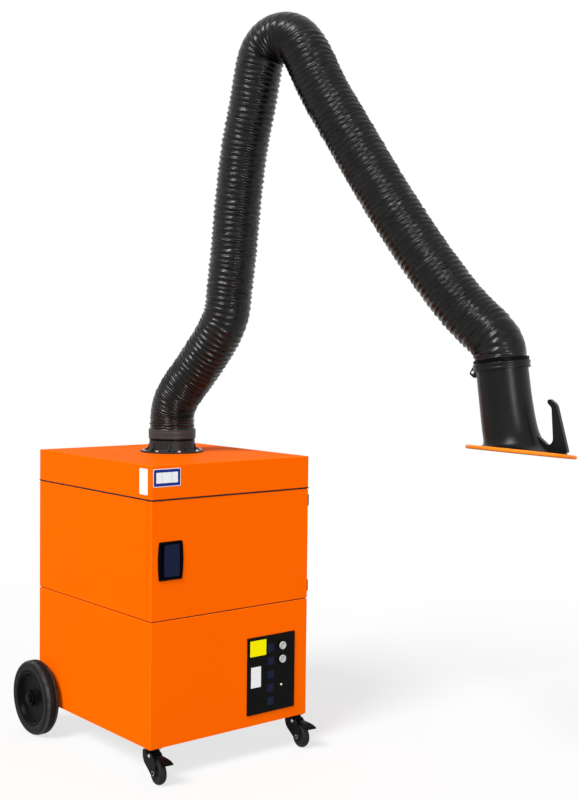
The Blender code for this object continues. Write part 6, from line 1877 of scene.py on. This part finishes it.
@dataclass
class ExtractionHood:
    """Hood on the hose's end: oval flared shell, rim bead, horn handle and wrist ring."""

    neck: float = 0.0735  # radius of the neck
    half_length: float = 0.145  # half the rim's length, along the arm
    half_width: float = 0.119  # half its width
    centre: float = 0.0298  # offset of the rim's middle along the arm
    drop: float = 0.236  # height from the neck's top to the rim
    slope: float = 9.5  # fall of the rim along the arm, in degrees
    lean: float = 6.5  # how far the rim leans to the side, in degrees
    wall: float = 0.003  # thickness of the shell
    bead: float = 0.0056  # radius of the rim bead
    sides: int = 96  # sides of a section

    FLARE: ClassVar = (
        (0.0, 0.0, 0.0, 0.0), (0.4, 0.016, 0.04, 0.0), (0.7, 0.057, 0.15, 0.0), (0.855, 0.135, 0.37, 0.3),
        (0.95, 0.38, 0.66, 0.8), (1.0, 1.0, 1.0, 1.0),
    )
    HORN: ClassVar = (
        (0.106, -0.2165, 0.008), (0.1215, -0.2245, 0.009), (0.1335, -0.213, 0.009), (0.1392, -0.1204, 0.006),
        (0.1288, -0.108, 0.005), (0.129, -0.1, 0.004), (0.136, -0.0965, 0.006), (0.1541, -0.1136, 0.01),
        (0.1725, -0.252, 0.01),
    )
    LIPS: ClassVar = (
        (0.0785, -0.0002), (0.0804, -0.0002, 0.001), (0.0804, 0.0055, 0.0012), (0.0795, 0.0068, 0.001),
        (0.0795, 0.0115, 0.001), (0.0812, 0.0135, 0.0015), (0.0812, 0.0188, 0.0016), (0.0785, 0.02, 0.001),
    )
    HOOK: ClassVar = (
        (-0.0785, 0.017), (-0.088, 0.017, 0.004), (-0.0985, 0.002, 0.004), (-0.0985, -0.003, 0.003),
        (-0.087, -0.015, 0.004), (-0.0785, -0.014),
    )

    def rows(self) -> list[Vector]:
        """Shares of drop, growth, shift and slope, close enough for a smooth flare."""
        return spline([Vector(shares) for shares in self.FLARE], 7)

    def section(self, shares: Vector, extra: float = 0.0, sink: float = 0.0) -> list[Vector]:
        """One oval section in the hood's frame.

        Args:
            shares: Shares of drop, growth, shift and slope.
            extra: Added to its half sizes.
            sink: How much lower it lies.

        Returns:
            Its points.
        """
        drop, growth, shift, slope = shares
        halves = (self.half_length, self.half_width)
        half_x, half_y = (self.neck + growth * (half - self.neck) + extra for half in halves)
        fall, lean = (math.tan(math.radians(angle) * slope) for angle in (self.slope, self.lean))
        made = []
        for number in range(self.sides):
            angle = math.tau * number / self.sides
            across, side = half_x * math.cos(angle), half_y * math.sin(angle)
            height = -CLEAR - drop * self.drop - fall * across - lean * side - sink
            made.append(Vector((shift * self.centre + across, side, height)))
        return made

    def shell(self) -> Shape:
        """Shell with an even wall.

        Returns:
            The shell.
        """
        rows = self.rows()
        outer = [self.section(shares) for shares in rows]
        inner = []
        for number, shares in enumerate(rows):
            change = rows[min(number + 1, len(rows) - 1)] - rows[max(number - 1, 0)]
            rise = change[0] * self.drop
            spread = change[1] * (self.half_length + self.half_width - 2 * self.neck) / 2
            length = math.hypot(rise, spread)
            inner.append(self.section(shares, -self.wall * rise / length, self.wall * spread / length))
        return loft(outer + inner[::-1], True)

    def handle(self) -> Shape:
        """Horn handle whose foot follows the shell.

        Returns:
            The handle.
        """
        foot = [self.section(shares, -self.wall * 0.5)[0] for shares in self.rows() if 0.8 < shares[0] < 0.996]
        outline = rounded(self.HORN, 6) + [(place.x, place.z) for place in reversed(foot)]
        return soften(slab(outline, -0.0082, 0.0082), 0.0034, 4)

    def build(self) -> None:
        """Add the hood, its bead and handle, and dress the wrist ring."""
        frame = LAYOUT.hood_frame()
        bead = sweep(self.section(self.rows()[-1], self.bead + CLEAR), self.bead, 20, True)
        hook = soften(slab(rounded(self.HOOK, 4), -0.009, 0.009), 0.0016)
        lips = joined(lathe(rounded(self.LIPS, 4), 96), hook)
        for name, shape, finish, body, nodes, crease in (
            ("hood_shell", self.shell(), Finishes.HOOD, Body.HOOD, ["hood_body"], 60),
            ("hood_rim_bead", bead, Finishes.TRIM, Body.HOOD, ["hood_rim"], 60),
            ("hood_horn_handle", self.handle(), Finishes.HOOD, Body.HOOD, ["hood_handle"], 35),
            ("wrist_ring_lips", lips, Finishes.HOOD, Body.WRIST, [], 40),
        ):
            add_piece(name, placed(shape, frame), finish, body, nodes, crease)
        screw = ((-0.0885, -0.0092, 0.002), FRONTWARD, 0.003)
        Heads().build("wrist_ring_screw", [screw], Finishes.ZINC, Body.WRIST, frame)


@dataclass
class Studio:
    """White product studio: soft sky, key light, pale floor and the photograph's camera."""

    sky: float = 0.45  # strength of the white surroundings for diffuse light
    # name, strength, angle in degrees and direction of the key light and of the fill
    lamps: tuple = (("key", 3.3, 24.0, (-0.68, -0.19, 0.71)), ("fill", 1.2, 14.0, (-0.27, -0.958, 0.1)))
    reach: float = 6.0  # half the side of the floor
    glow: float = 0.68  # strength at which the floor is seen
    place: Place = (-2.304, -3.388, 1.225)  # place of the camera
    yaw: float = 39.74  # direction of view from +Y towards +X, in degrees
    pitch: float = 2.47  # how far the view looks down, in degrees
    roll: float = 0.66  # how far the camera leans, in degrees
    lens: float = 54.32  # focal length in millimetres

    @staticmethod
    def seen(graph: Graph, dark: float, bright: float) -> Socket:
        """Tell camera, glossy and transmission rays, which are shown the bright value, from the light itself.

        Args:
            graph: The graph to work in.
            dark: Value for the light itself.
            bright: Value for those rays.

        Returns:
            The value's socket.
        """
        path = graph.node("ShaderNodeLightPath")
        either = graph.maths("MAXIMUM", path.outputs["Is Camera Ray"], path.outputs["Is Glossy Ray"])
        either = graph.maths("MAXIMUM", either, path.outputs["Is Transmission Ray"])
        return graph.span(either, 0.0, 1.0, dark, bright)

    def surroundings(self) -> None:
        """White world that the camera and reflections see at full strength."""
        world = bpy.data.worlds.new("studio")
        bpy.context.scene.world = world
        world.use_nodes = True
        graph = Graph(world.node_tree)
        graph.tree.nodes.clear()
        strength = self.seen(graph, self.sky, 1.0)
        white = graph.node("ShaderNodeBackground", {"Color": WHITE, "Strength": strength})
        graph.node("ShaderNodeOutputWorld", {"Surface": white.outputs[0]})

    def light(self) -> None:
        """Add the key light from the upper left and the low fill from the front."""
        for name, strength, spread, towards in self.lamps:
            lamp = bpy.data.lights.new(name, "SUN")
            lamp.energy = strength
            lamp.angle = math.radians(spread)
            shown(name, lamp).rotation_euler = Vector(towards).to_track_quat("Z", "Y").to_euler()

    def ground(self) -> None:
        """Add the pale floor that fades out into the white."""
        mesh = bpy.data.meshes.new("studio_floor")
        far, level = self.reach, LAYOUT.floor - 0.0002
        edges = ((-far, -far), (far, -far), (far, far), (-far, far))
        mesh.from_pydata([(x, y, level) for x, y in edges], [], [range(4)])
        made = bpy.data.materials.new("studio_floor")
        made.use_nodes = True
        graph = Graph(made.node_tree)
        away = graph.vector("LENGTH", graph.place())
        graph.feed(made.node_tree.nodes["Principled BSDF"], {
            "Base Color": (0.25, 0.25, 0.25, 1.0), "Roughness": 0.9, "Specular IOR Level": 0.0,
            "Emission Color": WHITE, "Emission Strength": self.seen(graph, 0.0, self.glow),
            "Alpha": graph.span(away, 1.5, 4.0, 1.0, 0.0),
        })
        mesh.materials.append(made)
        shown("studio_floor", mesh)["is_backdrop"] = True

    def camera(self) -> None:
        """Place the camera of the photograph."""
        data = bpy.data.cameras.new("photo_camera")
        data.lens = self.lens
        data.sensor_width = 36.0
        data.clip_end = 50.0
        yaw, pitch, roll = (math.radians(value) for value in (self.yaw, self.pitch, self.roll))
        ahead = Vector((math.sin(yaw) * math.cos(pitch), math.cos(yaw) * math.cos(pitch), -math.sin(pitch)))
        right = Vector((math.cos(yaw), -math.sin(yaw), 0.0))
        upward = right.cross(ahead)
        leant = math.cos(roll) * right + math.sin(roll) * upward
        upright_way = math.cos(roll) * upward - math.sin(roll) * right
        frame = Matrix((leant, upright_way, -ahead)).transposed().to_4x4()
        frame.translation = self.place
        made = shown("photo_camera", data)
        made.matrix_world = frame
        bpy.context.scene.camera = made

    def build(self) -> None:
        """Set up the studio."""
        bpy.context.scene.view_settings.view_transform = "Standard"
        self.surroundings()
        self.light()
        self.ground()
        self.camera()


def finish_frame(frame: dict) -> int:
    """Give every CAD node its finish, for those that are shown as they are.

    Args:
        frame: What the loader returned.

    Returns:
        The number of nodes.
    """
    slots = {part["node"]: part["material_slot"] for part in frame["record"]["subparts"]}
    for name, node in frame["nodes"].items():
        node.data.materials.clear()
        node.data.materials.append(Finishes.of_slot(slots[name], name).material())
    return len(frame["nodes"])


def corners() -> list[list[float]]:
    """Lowest and highest corner of what is shown, as plain lists."""
    return [[round(float(value), 6) for value in corner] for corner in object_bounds()]


def main() -> None:
    """Build the dressed extractor and report each piece."""
    logging.basicConfig(level=logging.INFO, format="%(name)s: %(message)s")
    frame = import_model()
    LOG.info("finished %d nodes of the frame", finish_frame(frame))
    for step in (
        CabinetShell(frame["nodes"]), DoorLatch(), ControlPanel(), RearWheels(), FrontCasters(), BlankLabels(),
        BackFittings(), ArmFlange(), Hose(), ExtractionHood(), Studio(),
    ):
        known = set(bpy.data.objects.keys())
        step.build()
        for name in bpy.data.objects.keys():
            if name not in known:
                LOG.info("%s: built %s", type(step).__name__, name)


if __name__ == "__main__":
    main()
